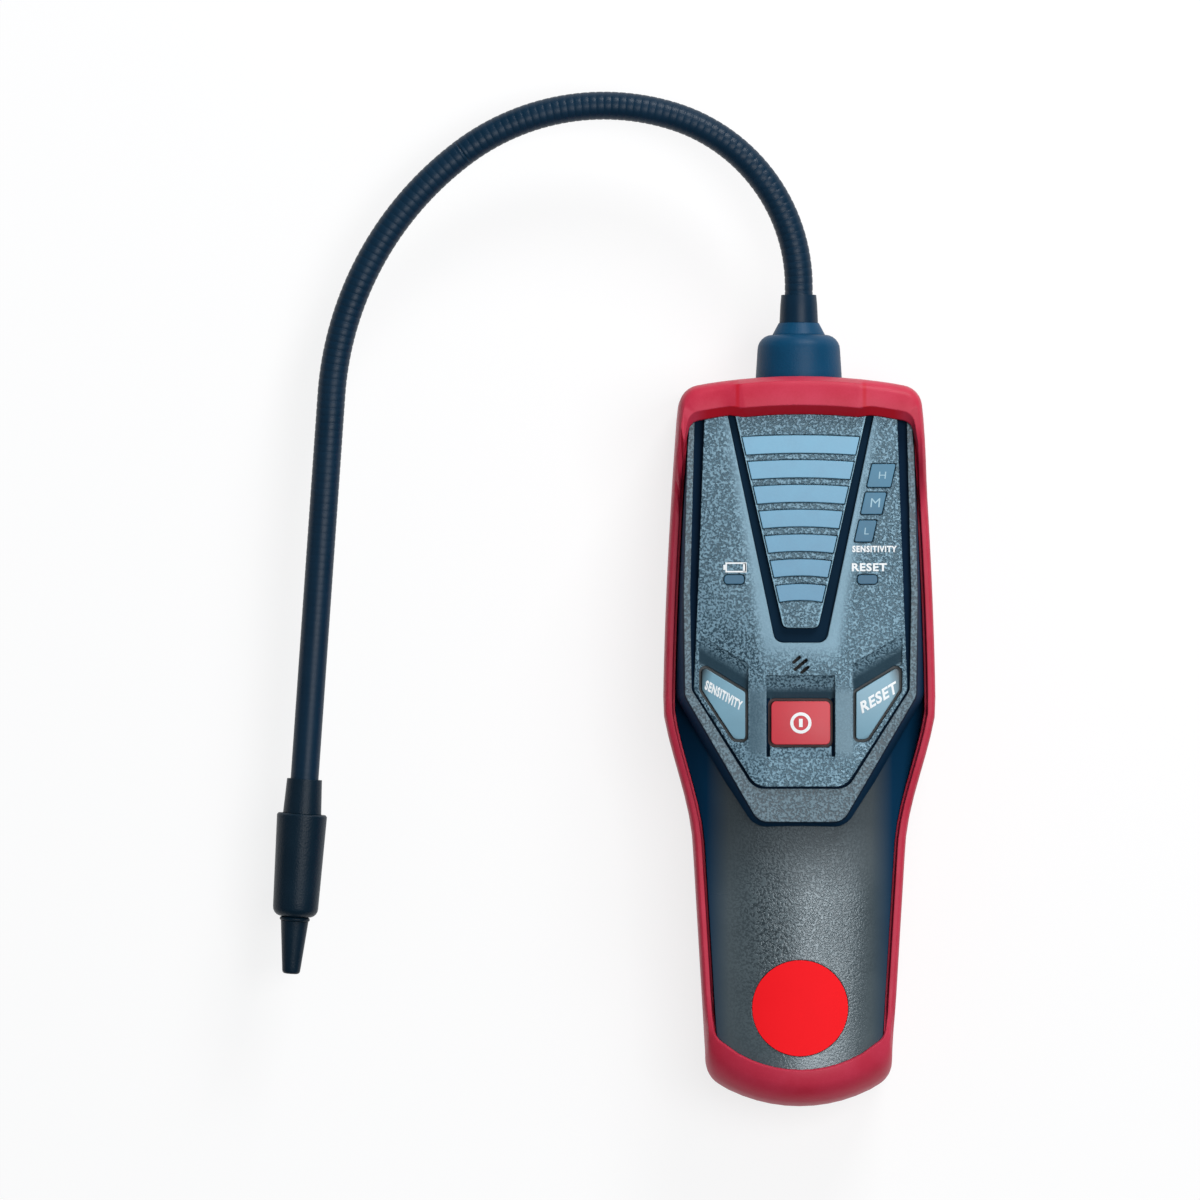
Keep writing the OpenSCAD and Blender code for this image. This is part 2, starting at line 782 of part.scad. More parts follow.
function pad_outline(inset) =
    outline(cover_inset + rear_lip + inset, cover_inset + rear_lip + inset, foot_inset + rear_lip + inset);

// Space of the boot's rear lip, with half a wall of the cover left beside it
module lip_space() {
    prism(0, pad_z + wall / 2) difference() {
        translate([-head_w / 2, foot_y]) square([head_w, body_len]);
        polygon(pad_outline(wall / 2));
    }
}

// Well for the cells, round over the upper pair, grown by its wall
module battery_bay(grow, low) {
    from = bay_foot_y - grow;
    to = bay_top_y + grow;
    r = cell_d / 2 + cell_gap / 2 + grow;
    translate([-bay_half - grow, from, low]) cube([2 * (bay_half + grow), to - from, cell_high_z - low]);
    for (side = [-1, 1]) bar_along(r, side * cell_x, cell_high_z, from, to);
    translate([-cell_x, from, cell_high_z - eps]) cube([2 * cell_x, to - from, r]);
}

// Opening of the battery door, or the door itself with its gap taken off
module door_plan(gap) {
    translate([-door_half + gap, door_foot_y + gap])
        square([2 * (door_half - gap), door_top_y - door_foot_y - 2 * gap]);
}

module rubber_boot() {
    under = [boot_wall, boot_wall, foot_wall];
    rear = [boot_wall + rear_lip, boot_wall + rear_lip, foot_wall + rear_lip];
    color([0.72, 0.16, 0.22]) difference() {
        ring_skin(concat(
            [level_ring(rear, rear_gap)],
            [for (r = rear_rings) level_ring(r[0], rear_gap + r[1])],
            [for (r = front_rings) front_ring(r[0], r[1])],
            [under_ring([rim_edge, bumper_len, foot_len]), under_ring(under)],
            [level_ring(under, rear_gap + lip_t), level_ring(rear, rear_gap + lip_t)]
        ));
        bar_along(collar_d / 2 + 2 * boot_gap, 0, neck_z, housing_end - 1, top_y + 1);
    }
}

// Well above a key, deepest at the key's edge, drawn as height against distance up the face
module well(low, edge, high, step, half) {
    rotate([90, 0, 90]) translate([0, 0, -half]) linear_extrude(2 * half) polygon([
        [low, face_z + 1], [low, low < 0 ? face_z : face_z - well_depth], [edge, face_z - well_depth],
        [high, face_z - step], [high, face_z + 1]
    ]);
}
module power_well() {
    edge = power_len / 2 + key_gap;
    translate([0, power_y, 0])
        well(-power_len / 2 - well_fall, edge, edge + well_rise, well_step, power_w / 2 + well_gap);
}
module side_well() {
    width = side_key_outer - side_key_inner;
    middle = [-(side_key_outer + side_key_inner) / 2, (side_key_top[0] + side_key_top[1]) / 2];
    intersection() {
        translate([middle.x, middle.y, 0]) rotate(-atan((side_key_top[1] - side_key_top[0]) / width))
            well(0, key_gap, key_gap + well_rise, side_well_step, width);
        translate([-side_key_outer - key_gap, side_key_foot, deck_z])
            cube([width + 2 * key_gap, top_y, plate_t + 1]);
    }
}

// Lower corner of the face, tilted down and outwards from two fold lines
module facet_cut(at, turn) {
    translate([at.x, at.y, face_z]) rotate(turn) rotate([facet_tilt, 0, 0])
        translate([-body_len, -body_len, 0]) cube([2 * body_len, body_len, plate_t]);
}
module facet() {
    fold = [for (p = facet_fold) [-p.x * shield_shoulder, p.y]];
    run = fold[1] - fold[0];
    intersection() {
        facet_cut(fold[0], atan2(run.y, run.x));
        facet_cut(fold[1], -90);
    }
}

// Face
module face_plate() {
    color([0.44, 0.53, 0.58]) difference() {
        prism(deck_z, face_z) pocket_plan(groove_top, groove_mid, groove_side, plate_top_y);
        prism(deck_z - 1, face_z + 1) {
            trim_plan(seat_gap, plate_top_y + 1);
            for (i = [0 : 2]) level_plan(i, lens_gap);
            for (side = [-1, 1]) pilot_plan(side, lens_gap);
            power_plan(key_gap);
            power_slits();
            side_plan(key_gap);
            mirror([1, 0]) side_plan(key_gap);
            speaker_slots();
        }
        power_well();
        side_well();
        facet();
        mirror([1, 0, 0]) {
            side_well();
            facet();
        }
    }
}

module speaker_slots() {
    translate([0, speaker_y]) rotate(slot_turn) for (k = [-1 : 1]) translate([0, k * slot_pitch]) hull() {
        half = (slot_lengths[k + 1] - slot_w) / 2;
        for (side = [-1, 1]) translate([side * half, 0]) circle(d = slot_w, $fn = 16);
    }
}

module display_trim() {
    color([0.02, 0.05, 0.08]) prism(deck_z, face_z - trim_drop) difference() {
        trim_plan(0);
        panel_plan(seat_gap, plate_top_y + 1);
    }
}

module display_panel() {
    color([0.44, 0.53, 0.58]) difference() {
        prism(deck_z, face_z) panel_plan(0);
        prism(deck_z - 1, face_z + 1) for (i = [1 : bar_count]) bar_plan(i, lens_gap);
    }
}

// Clear moulding that shows at the face, with a flange behind it
module bar_lens(i) {
    color([0.57, 0.74, 0.84]) {
        prism(deck_z - lens_flange_t, face_z + lens_proud) bar_plan(i, 0);
        prism(deck_z - lens_flange_t, deck_z) intersection() {
            bar_plan(i, lens_flange);
            panel_plan(-window_margin - seat_gap);
        }
    }
}
module level_lens(i) {
    color([0.57, 0.74, 0.84]) {
        prism(deck_z - lens_flange_t, face_z + lens_proud) level_plan(i, 0);
        prism(deck_z - lens_flange_t, deck_z) level_plan(i, lens_flange);
    }
}
module pilot_lens(side) {
    color([0.6, 0.76, 0.86]) {
        prism(deck_z - lens_flange_t, face_z + lens_proud) pilot_plan(side, 0);
        prism(deck_z - lens_flange_t, deck_z) pilot_plan(side, lens_flange);
    }
}

// Badge disc, curved as the crown is
module badge_disc() {
    color([0.9, 0.1, 0.13]) intersection() {
        translate([0, badge_y, part_z]) cylinder(r = badge_r, h = crown_z);
        difference() {
            bar_along(crown_r + badge_proud, 0, crown_z - crown_r, foot_y, 0);
            bar_along(crown_r - badge_bed + push_gap, 0, crown_z - crown_r, foot_y - 1, 1);
        }
    }
}

// Keys: a domed cap with a flange that the deck holds down
module key_cap(middle, top) {
    intersection() {
        prism(flange_under, top + 1) children(0);
        translate([middle.x, middle.y, top - key_dome_r]) sphere(r = key_dome_r, $fn = 128);
    }
    prism(flange_under, flange_top) children(1);
}
module power_key() {
    color([0.76, 0.25, 0.3]) key_cap([0, power_y], key_z) {
        power_plan(0);
        power_plan(key_flange);
    }
}
module sensitivity_key() {
    color([0.5, 0.63, 0.7]) key_cap(side_switch_at + side_dome_shift, side_key_z) {
        side_plan(0);
        side_plan(key_flange);
    }
}
module reset_key() {
    color([0.5, 0.63, 0.7]) mirror([1, 0, 0]) key_cap(side_switch_at + side_dome_shift, side_key_z) {
        side_plan(0);
        side_plan(key_flange);
    }
}

// Tact switches and the plungers that the keys press
module tact_switch(at) {
    color([0.1, 0.1, 0.11]) translate([at.x, at.y, board_top]) difference() {
        translate([-switch_w / 2, -switch_w / 2, 0]) cube([switch_w, switch_w, switch_h]);
        translate([0, 0, switch_floor]) cylinder(r = plunger_r + 2 * push_gap, h = switch_h);
    }
}
module plunger(at) {
    color([0.85, 0.85, 0.82]) translate([at.x, at.y, flange_under - plunger_len])
        cylinder(r = plunger_r, h = plunger_len);
}

// Circuit board and what is on it
module main_board() {
    color([0.05, 0.35, 0.2]) difference() {
        prism(board_under, board_top) intersection() {
            shield_plan(board_inset, board_inset);
            translate([-head_w / 2, board_foot_y]) square([head_w, board_top_y - board_foot_y]);
        }
        at_both(board_screw_at)
            translate([0, 0, board_under - 1]) cylinder(d = board_screw_d + 2 * seat_gap, h = board_t + 2);
    }
}
module led(x, y) {
    translate([x - led_size.x / 2, y - led_size.y / 2, board_top]) cube(led_size);
}
module indicator_leds() {
    color([0.9, 0.9, 0.8]) {
        for (i = [1 : bar_count]) led(0, bar_y(i));
        for (i = [0 : 2]) led(panel_half(level_y(i)) + level_offset + level_sizes[i].x / 2, level_y(i));
        for (side = [-1, 1]) led(side * pilot_x, top_y - pilot_drop);
    }
}
module control_chip() {
    color([0.08, 0.08, 0.09])
        translate([chip_at.x, chip_at.y, board_under - chip_size.z / 2]) cube(chip_size, center = true);
}
module lead_socket() {
    inside = [socket_size.x - 2 * socket_wall, socket_size.y - 2 * socket_wall, socket_size.z];
    color([0.9, 0.88, 0.8])
        translate([socket_at.x, socket_at.y, board_under - socket_size.z / 2]) difference() {
            cube(socket_size, center = true);
            translate([0, 0, -socket_wall]) cube(inside, center = true);
        }
}
module speaker() {
    color([0.1, 0.1, 0.1]) translate([0, speaker_y, board_top]) difference() {
        cylinder(r = speaker_r, h = speaker_h);
        translate([0, 0, speaker_h - 1]) cylinder(r = 1, h = 2);
    }
}

// Battery door, turning on two stub pins at its foot
module battery_door() {
    color([0.13, 0.15, 0.17]) {
        difference() {
            union() {
                translate([-door_half + door_gap, hinge_y, door_inset_z])
                    cube([2 * (door_half - door_gap), door_top_y - door_gap - hinge_y, door_t]);
                translate([-door_half + door_gap, hinge_y, hinge_z]) rotate([0, 90, 0])
                    cylinder(d = door_t, h = 2 * (door_half - door_gap));
                translate([-door_half - hinge_pin_len, hinge_y, hinge_z]) rotate([0, 90, 0])
                    cylinder(r = hinge_pin_r, h = 2 * (door_half + hinge_pin_len));
            }
            translate([0, door_top_y - thumb_run, door_inset_z - thumb_r + thumb_depth])
                rotate([0, 90, 0]) cylinder(r = thumb_r, h = thumb_w, center = true);
        }
    }
}

// Cells lie in pairs, alternating ends
module battery_cell(x, z, turned) {
    from = bay_foot_y + (turned ? plate_sheet : bay_contact);
    color([0.75, 0.6, 0.3])
        translate([x, turned ? from + cell_len : from, z]) rotate([turned ? 90 : -90, 0, 0]) {
            cylinder(d = cell_d, h = cell_len - cell_tip);
            translate([0, 0, cell_len - cell_tip - eps]) cylinder(d = cell_tip_d, h = cell_tip + eps);
        }
}
cell_places = [
    [-cell_x, cell_low_z, false], [cell_x, cell_low_z, true],
    [-cell_x, cell_high_z, true], [cell_x, cell_high_z, false]
];
module battery_springs() {
    color("silver") for (c = cell_places)
        translate([c[0], c[2] ? bay_top_y - plate_sheet : bay_foot_y + plate_sheet, c[1]])
            rotate([c[2] ? 90 : -90, 0, 0])
                coil(spring_base_r, spring_tip_r, bay_contact - plate_sheet, spring_turns, spring_wire);
}
module contact_plates() {
    color("silver") for (c = cell_places, end = [bay_foot_y, bay_top_y - plate_sheet])
        translate([c[0] - plate_w / 2, end, c[1] - plate_w / 2]) cube([plate_w, plate_sheet, plate_w]);
}

// Screws with pan heads and cross slots
module screw(d, head_d, head_h, length) {
    slot = 0.6 * head_d;
    difference() {
        union() {
            cylinder(d = d, h = length + head_h);
            cylinder(d = head_d, h = head_h);
        }
        for (turn = [0, 90]) rotate(turn)
            translate([-slot / 2, -cross_w / 2, -1]) cube([slot, cross_w, 1 + head_h / 2]);
    }
}
module case_screws() {
    color("silver") at_both(case_screw_at) translate([0, 0, case_seat - case_head_h])
        screw(case_screw_d - 2 * push_gap, case_head_d, case_head_h, case_screw_len);
}
module board_screws() {
    color("silver") at_both(board_screw_at) translate([0, 0, board_under - board_head_h])
        screw(board_screw_d - 2 * push_gap, board_head_d, board_head_h, board_t + board_bite);
}

// Round pieces on the probe's axis, each drawn as radius against distance along it
module turned_piece(points) {
    rotate([-90, 0, 0]) rotate_extrude($fn = 96) polygon(points);
}
module on_neck() {
    translate([0, 0, neck_z]) children();
}

module neck_collar() {
    r = collar_d / 2;
    nose_r = ring_d / 2;
    shoulder = r - 0.7 - nose_r;
    color([0.03, 0.13, 0.22]) on_neck() turned_piece(concat(
        [[lead_bore_r, housing_end - spigot_len], [spigot_r, housing_end - spigot_len],
            [spigot_r, housing_end], [r, housing_end]],
        [for (k = [0 : 6]) let (a = 15 * k)
            [nose_r + shoulder * cos(a), collar_top - shoulder + shoulder * sin(a)]],
        [[lead_bore_r, collar_top]]
    ));
}
module gland_ring() {
    color([0.03, 0.13, 0.22]) on_neck() turned_piece([
        [lead_bore_r, collar_top], [ring_d / 2, collar_top], [sleeve_d / 2 + 0.2, collar_top + ring_len],
        [neck_r + push_gap, collar_top + ring_len], [neck_r + push_gap, neck_start - push_gap],
        [lead_bore_r, neck_start - push_gap]
    ]);
}
module neck_sleeve() {
    from = collar_top + ring_len;
    color([0.02, 0.06, 0.1]) on_neck() turned_piece([
        [neck_r + push_gap, from], [sleeve_d / 2, from], [sleeve_d / 2 - 0.25, from + sleeve_len * 0.65],
        [sleeve_top_d / 2, from + sleeve_len], [neck_r + push_gap, from + sleeve_len]
    ]);
}
module neck_locknut() {
    from = housing_end - wall - nut_gap - nut_t;
    color("silver") on_neck() translate([0, from, 0]) rotate([-90, 0, 0]) difference() {
        cylinder(r = nut_r, h = nut_t, $fn = 6);
        translate([0, 0, -1]) cylinder(r = spigot_r + push_gap, h = nut_t + 2);
    }
}

// Place and heading at the start of each stretch of the route
function heading_at(k) = k == 0 ? 90 : heading_at(k - 1) + route[k - 1][2];
function place_at(k) =
    k == 0 ? [0, neck_start]
    : let (s = route[k - 1], h = heading_at(k - 1), side = [-sin(h), cos(h)], ahead = [cos(h), sin(h)])
      place_at(k - 1) + (s[2] == 0
        ? ahead * s[0]
        : s[1] * (side * (1 - cos(s[2])) + ahead * sin(s[2])));

module stretch(k, start = 0, extra = 0) {
    s = route[k];
    translate([place_at(k).x, place_at(k).y, neck_z]) rotate(heading_at(k)) {
        if (s[2] == 0)
            rotate([0, 90, 0]) translate([0, 0, start]) cylinder(r = neck_r, h = s[0] + extra - start);
        else
            translate([0, s[1], 0]) rotate(-90) rotate_extrude(angle = s[2], $fn = 360)
                translate([s[1], 0]) circle(r = neck_r, $fn = 32);
    }
}
module neck_base() {
    color([0.02, 0.04, 0.07]) {
        stretch(0);
        stretch(1);
    }
}
module neck_arch() { color([0.02, 0.04, 0.07]) stretch(2); }
module neck_bend() { color([0.02, 0.04, 0.07]) stretch(3); }
module neck_leg() { color([0.02, 0.04, 0.07]) stretch(4, stretch_gap, tip_grip); }

// Sensing tip at the end of the route
module on_tip() {
    end = place_at(len(route));
    translate([end.x, end.y, neck_z]) rotate(heading_at(len(route)) - 90) children();
}
module tip_sleeve() {
    color([0.03, 0.1, 0.16]) on_tip() turned_piece([
        [neck_r + push_gap, 0], [tip_sleeve_d / 2, 0], [tip_sleeve_end_d / 2, tip_sleeve_len],
        [lead_bore_r, tip_sleeve_len], [lead_bore_r, tip_grip + push_gap],
        [neck_r + push_gap, tip_grip + push_gap]
    ]);
}
module sensor_housing() {
    r = tip_d / 2;
    end_r = tip_end_d / 2;
    inside = end_r - tip_wall;
    color([0.03, 0.13, 0.22]) on_tip() turned_piece(concat(
        [[lead_bore_r, tip_from], [r - 0.4, tip_from], [r, tip_from + 0.5]],
        [for (k = [0 : 5]) let (a = 18 * k)
            [end_r - tip_round + tip_round * cos(a), tip_to - tip_round + tip_round * sin(a)]],
        [[nozzle_seat_r + push_gap, tip_to], [nozzle_seat_r + push_gap, tip_to - nozzle_root],
            [inside, tip_to - nozzle_root - 1], [inside, tip_from + tip_floor],
            [lead_bore_r, tip_from + tip_floor]]
    ));
}
module tip_seal() {
    color([0.05, 0.05, 0.05]) on_tip() translate([0, tip_to + seal_r, 0]) rotate([-90, 0, 0])
        rotate_extrude() translate([nozzle_seat_r + push_gap + seal_r, 0])
            circle(r = seal_r - push_gap, $fn = 24);
}
module sensor_nozzle() {
    from = tip_to + 2 * seal_r;
    to = tip_to + nozzle_len;
    end_r = nozzle_end_d / 2;
    color([0.03, 0.1, 0.16]) on_tip() turned_piece(concat(
        [[nozzle_bore_r, tip_to - nozzle_root + seat_gap], [nozzle_seat_r, tip_to - nozzle_root + seat_gap],
            [nozzle_seat_r, from], [nozzle_d / 2, from]],
        [for (k = [0 : 3]) let (a = 30 * k)
            [end_r - nozzle_round + nozzle_round * cos(a), to - nozzle_round + nozzle_round * sin(a)]],
        [[nozzle_bore_r, to]]
    ));
}
module sensor_element() {
    from = tip_from + tip_floor;
    base = from + element_base_h;
    color([0.8, 0.8, 0.75]) on_tip() turned_piece([
        [0, from], [element_base_r, from], [element_base_r, base],
        [element_r, base], [element_r, base + element_h], [0, base + element_h]
    ]);
}

front_cover();
rear_cover();
rubber_boot();
face_plate();
display_trim();
display_panel();
for (i = [1 : bar_count]) bar_lens(i);
level_lens(0);  // level_lens_high
level_lens(1);  // level_lens_mid
level_lens(2);  // level_lens_low
pilot_lens(-1);  // battery_lens
pilot_lens(1);  // reset_lens
power_key();
sensitivity_key();
reset_key();
tact_switch(power_switch_at);  // power_switch
tact_switch(side_switch_at);  // sensitivity_switch
tact_switch(reset_switch_at);  // reset_switch
plunger(power_switch_at);  // power_plunger
plunger(side_switch_at);  // sensitivity_plunger
plunger(reset_switch_at);  // reset_plunger
main_board();
indicator_leds();
control_chip();
lead_socket();
speaker();
badge_disc();
battery_door();
for (i = [1 : 4]) battery_cell(cell_places[i - 1][0], cell_places[i - 1][1], cell_places[i - 1][2]);
battery_springs();
contact_plates();
case_screws();
board_screws();
neck_collar();
gland_ring();
neck_sleeve();
neck_locknut();
neck_base();
neck_arch();
neck_bend();
neck_leg();
tip_sleeve();
sensor_housing();
tip_seal();
sensor_nozzle();
sensor_element();
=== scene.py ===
import json
import math
import bmesh
import bpy
from mathutils import Matrix, Vector


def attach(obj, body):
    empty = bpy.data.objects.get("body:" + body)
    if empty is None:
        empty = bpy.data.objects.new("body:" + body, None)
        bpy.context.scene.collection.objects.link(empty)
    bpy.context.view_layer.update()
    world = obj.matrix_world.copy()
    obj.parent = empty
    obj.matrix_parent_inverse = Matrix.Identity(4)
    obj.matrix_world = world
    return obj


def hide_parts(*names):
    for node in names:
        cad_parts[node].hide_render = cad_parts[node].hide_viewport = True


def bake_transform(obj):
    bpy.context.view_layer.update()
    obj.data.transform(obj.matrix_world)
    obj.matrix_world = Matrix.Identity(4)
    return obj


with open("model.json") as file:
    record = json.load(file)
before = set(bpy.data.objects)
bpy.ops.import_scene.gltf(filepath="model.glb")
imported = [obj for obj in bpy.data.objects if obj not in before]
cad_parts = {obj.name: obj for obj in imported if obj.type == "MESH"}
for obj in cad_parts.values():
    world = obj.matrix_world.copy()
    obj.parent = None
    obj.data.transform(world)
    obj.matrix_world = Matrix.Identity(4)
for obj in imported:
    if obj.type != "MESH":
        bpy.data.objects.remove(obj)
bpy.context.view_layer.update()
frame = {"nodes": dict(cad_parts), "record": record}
mm = 0.001


class Wire:
    # a socket in a material, so that masks can be written as sums
    def __init__(self, paint, socket):
        self.paint = paint
        self.socket = socket

    def math(self, operation, first, second):
        return self.paint.node("ShaderNodeMath", {"operation": operation}, {0: first, 1: second})

    def __add__(self, other):
        return self.math("ADD", self, other)

    def __radd__(self, other):
        return self.math("ADD", other, self)

    def __sub__(self, other):
        return self.math("SUBTRACT", self, other)

    def __rsub__(self, other):
        return self.math("SUBTRACT", other, self)

    def __mul__(self, other):
        return self.math("MULTIPLY", self, other)

    def __rmul__(self, other):
        return self.math("MULTIPLY", other, self)

    def __pow__(self, other):
        return self.math("POWER", self, other)

    def __abs__(self):
        return self.math("ABSOLUTE", self, 0.0)


class Paint:
    # one material and its nodes
    def __init__(self, name):
        self.material = bpy.data.materials.new(name)
        self.material.use_nodes = True
        self.tree = self.material.node_tree
        self.tree.nodes.clear()
        self.place = self.node("ShaderNodeTexCoord", {}, {}, "Object")

    def node(self, kind, settings, sockets, out=0):
        made = self.tree.nodes.new(kind)
        for key, value in settings.items():
            setattr(made, key, value)
        for key, value in sockets.items():
            if isinstance(value, Wire):
                self.tree.links.new(value.socket, made.inputs[key])
            else:
                made.inputs[key].default_value = value
        return Wire(self, made.outputs[out]) if made.outputs else None

    def part(self, axis):
        return self.node("ShaderNodeSeparateXYZ", {}, {0: self.place}, axis)

    def noise(self, size, detail=3, rough=0.5, at=None):
        return self.node("ShaderNodeTexNoise", {}, {
            "Vector": at or self.place, "Scale": 1 / size, "Detail": detail, "Roughness": rough})

    def ramp(self, value, low, high):
        return self.node("ShaderNodeMapRange", {"clamp": True}, {0: value, 1: low, 2: high, 3: 0.0, 4: 1.0})

    def clamp(self, value):
        return self.ramp(value, 0.0, 1.0)

    def mix(self, share, first, second):
        return self.node("ShaderNodeMix", {"data_type": "RGBA"}, {0: share, 6: first, 7: second}, 2)

    def edge(self, radius):
        return self.node("ShaderNodeBevel", {"samples": 6}, {"Radius": radius})

    def bump(self, height, distance, strength=1.0, normal=None):
        sockets = {"Height": height, "Distance": distance, "Strength": strength}
        if normal:
            sockets["Normal"] = normal
        return self.node("ShaderNodeBump", {}, sockets)

    def finish(self, sockets, share=None, other=None):
        # with a share, a second shader is mixed in
        shader = self.node("ShaderNodeBsdfPrincipled", {}, sockets)
        if share:
            second = self.node("ShaderNodeBsdfPrincipled", {}, other)
            shader = self.node("ShaderNodeMixShader", {}, {0: share, 1: shader, 2: second})
        self.node("ShaderNodeOutputMaterial", {}, {"Surface": shader})
        return self.material


def tone(r, g, b):
    # a colour read off in screen values, as the shader takes it
    shares = [c / 255 for c in (r, g, b)]
    return tuple(s / 12.92 if s < 0.0404 else ((s + 0.055) / 1.055) ** 2.4 for s in shares) + (1.0,)


def shaded(colour, share, lift=0.0):
    # a darker or lighter tone of a colour
    return tuple(min(c * share + lift, 1.0) for c in colour[:3]) + (1.0,)


def dulled(rough, noise, span):
    # a roughness that strays half a span to either side
    return span * noise + (rough - span / 2)


grain = {
    "face": {
        "dark": tone(24, 48, 62), "light": tone(118, 150, 168), "size": 0.62 * mm, "depth": 0.1 * mm,
        "rough": 0.24, "shine": 0.5, "tint": (0.6, 0.86, 1.0, 1),
    },
    "grip": {
        "dark": tone(6, 24, 32), "light": tone(96, 110, 116), "size": 0.65 * mm, "depth": 0.07 * mm,
        "rough": 0.25, "shine": 1.0, "tint": (0.84, 0.94, 1.0, 1),
    },
    "rear": {
        "dark": tone(34, 42, 48), "light": tone(66, 77, 84), "size": 0.7 * mm, "depth": 0.05 * mm,
        "rough": 0.5, "shine": 0.4, "tint": (1, 1, 1, 1),
    },
}
pebble = {
    "speck": (0.42, 0.58), "broad": 12 * mm, "press": 0.7, "vary": 0.1, "edge": 0.4 * mm,
    "weights": (0.85, 0.4, 0.28, 0.35),  # specks, broad drift, base and the painted highlight of the smooth band beside the V
}


def pebbles(paint, look):
    # small specks and the broad drift under them
    fine = paint.noise(look["size"], 2, 0.6)
    return paint.ramp(fine, *pebble["speck"]), paint.noise(pebble["broad"], 3, 0.55)


# the face's smooth bands, beside the display's V and between the keys; the band beside the V also carries a
# painted highlight, the panel's edge a painted highlight line and the sunk wells painted shade
smooth = {
    "trim": (7.55 * mm, 0.155, 30.8 * mm),  # half width, slope and foot of the V
    "reach": (2.5 * mm, 5.5 * mm), "foot": (20 * mm, 26 * mm),
    "panel": (4.65 * mm, 0.2267, 30.8 * mm),  # the same for the panel inside it
    "begin": 0.4 * mm, "inside": (-0.5 * mm, 0.0),
    "line": (0.35 * mm, 0.55 * mm), "lineEdge": (0.0, 0.1 * mm), "edgeHighlightTone": tone(150, 190, 210),
    "band": (9 * mm, 14.5 * mm), "bandBlur": (0.5 * mm, 1.0 * mm), "rise": (-6 * mm, 17 * mm),
    "runOut": 4 * mm, "well": (41.0 * mm, 41.6 * mm), "most": 0.9,
}


def smoothShare(paint):
    # how even the face is, its painted highlight beside the V (darker between the keys), the panel's painted
    # edge highlight and the painted shade in the sunk wells
    x, y, z = (paint.part(k) for k in range(3))
    away = abs(x)
    half, slope, foot = smooth["trim"]
    besideV = 1 - paint.ramp(away - (y - foot) * slope - half, *smooth["reach"])
    besideV = besideV * paint.ramp(y, *smooth["foot"])
    inner, outer = smooth["band"]
    innerBlur, outerBlur = smooth["bandBlur"]
    low, high = smooth["rise"]
    runOut = smooth["runOut"]
    across = paint.ramp(away, inner - innerBlur, inner + innerBlur)
    across = across * (1 - paint.ramp(away, outer - outerBlur, outer + outerBlur))
    along = paint.ramp(y, low, low + runOut) * (1 - paint.ramp(y, high - runOut, high))
    between = across * along
    half, slope, foot = smooth["panel"]
    within = half + (y - foot) * slope - away
    above = paint.ramp(y, foot, foot + smooth["begin"])
    # a painted highlight line along the panel's inner edge, where the edge would catch the light
    line = (1 - paint.ramp(within, *smooth["line"])) * paint.ramp(within, *smooth["lineEdge"]) * above
    inside = paint.ramp(within, *smooth["inside"]) * above
    # painted shade in the sunk wells, below a height
    deep = 1 - paint.ramp(z, *smooth["well"])
    # the band beside the V is smooth and gets a painted highlight
    smoothHighlitBand = besideV * (1 - inside) * (1 - deep)
    even = paint.clamp(smoothHighlitBand + between + deep) * smooth["most"]
    # the highlight share returned is lowered by half between the keys, which paints them darker
    return even, smoothHighlitBand - between * 0.5, line, deep


def grainedPlastic(name, look, banded=False):
    paint = Paint(name)
    speck, broad = pebbles(paint, look)
    even, smoothHighlitBand, line, deep = smoothShare(paint) if banded else (0.0, 0.0, 0.0, 0.0)
    strength = 1 - even
    specks, drift, base, highlightWeight = pebble["weights"]
    # a painted highlight lightens the smooth band beside the V
    shade = paint.clamp((speck - 0.5) * strength * specks + broad * drift + base + smoothHighlitBand * highlightWeight)
    skin = paint.mix(shade, look["dark"], look["light"])
    if banded:
        # the panel's inner edge: painted highlight line
        skin = paint.mix(line * 0.7, skin, smooth["edgeHighlightTone"])
        # painted shade in the sunk wells
        skin = paint.mix(deep * 0.85, skin, look["dark"])
    return paint.finish({
        "Base Color": skin,
        "Roughness": dulled(look["rough"], broad, pebble["vary"]),
        "Normal": paint.bump(speck * strength, look["depth"], pebble["press"], paint.edge(pebble["edge"])),
        "Specular IOR Level": look["shine"],
        "Specular Tint": look["tint"],
    })


cover = {
    "crown": (37 * mm, 50 * mm), "over": (0.1 * mm, 0.3 * mm),  # top and radius, and where the rim starts
    "ledge": (41.7 * mm, 41.76 * mm), "deck": (40.1 * mm, 40.2 * mm), "lit": (30.2 * mm, 33.2 * mm),
    "chinShadow": (-42 * mm, -22 * mm), "grainAndGlintWide": (10 * mm, 21 * mm), "grainAndGlintLow": (-82 * mm, -52 * mm),
    "wall": tone(0, 48, 78), "floor": tone(0, 30, 54), "wallRough": 0.7, "wallVary": 0.2, "wallShine": 0.1,
    "rim": tone(88, 116, 130), "rimDeep": tone(22, 44, 56), "rimRough": 0.47, "edge": 0.3 * mm,
}


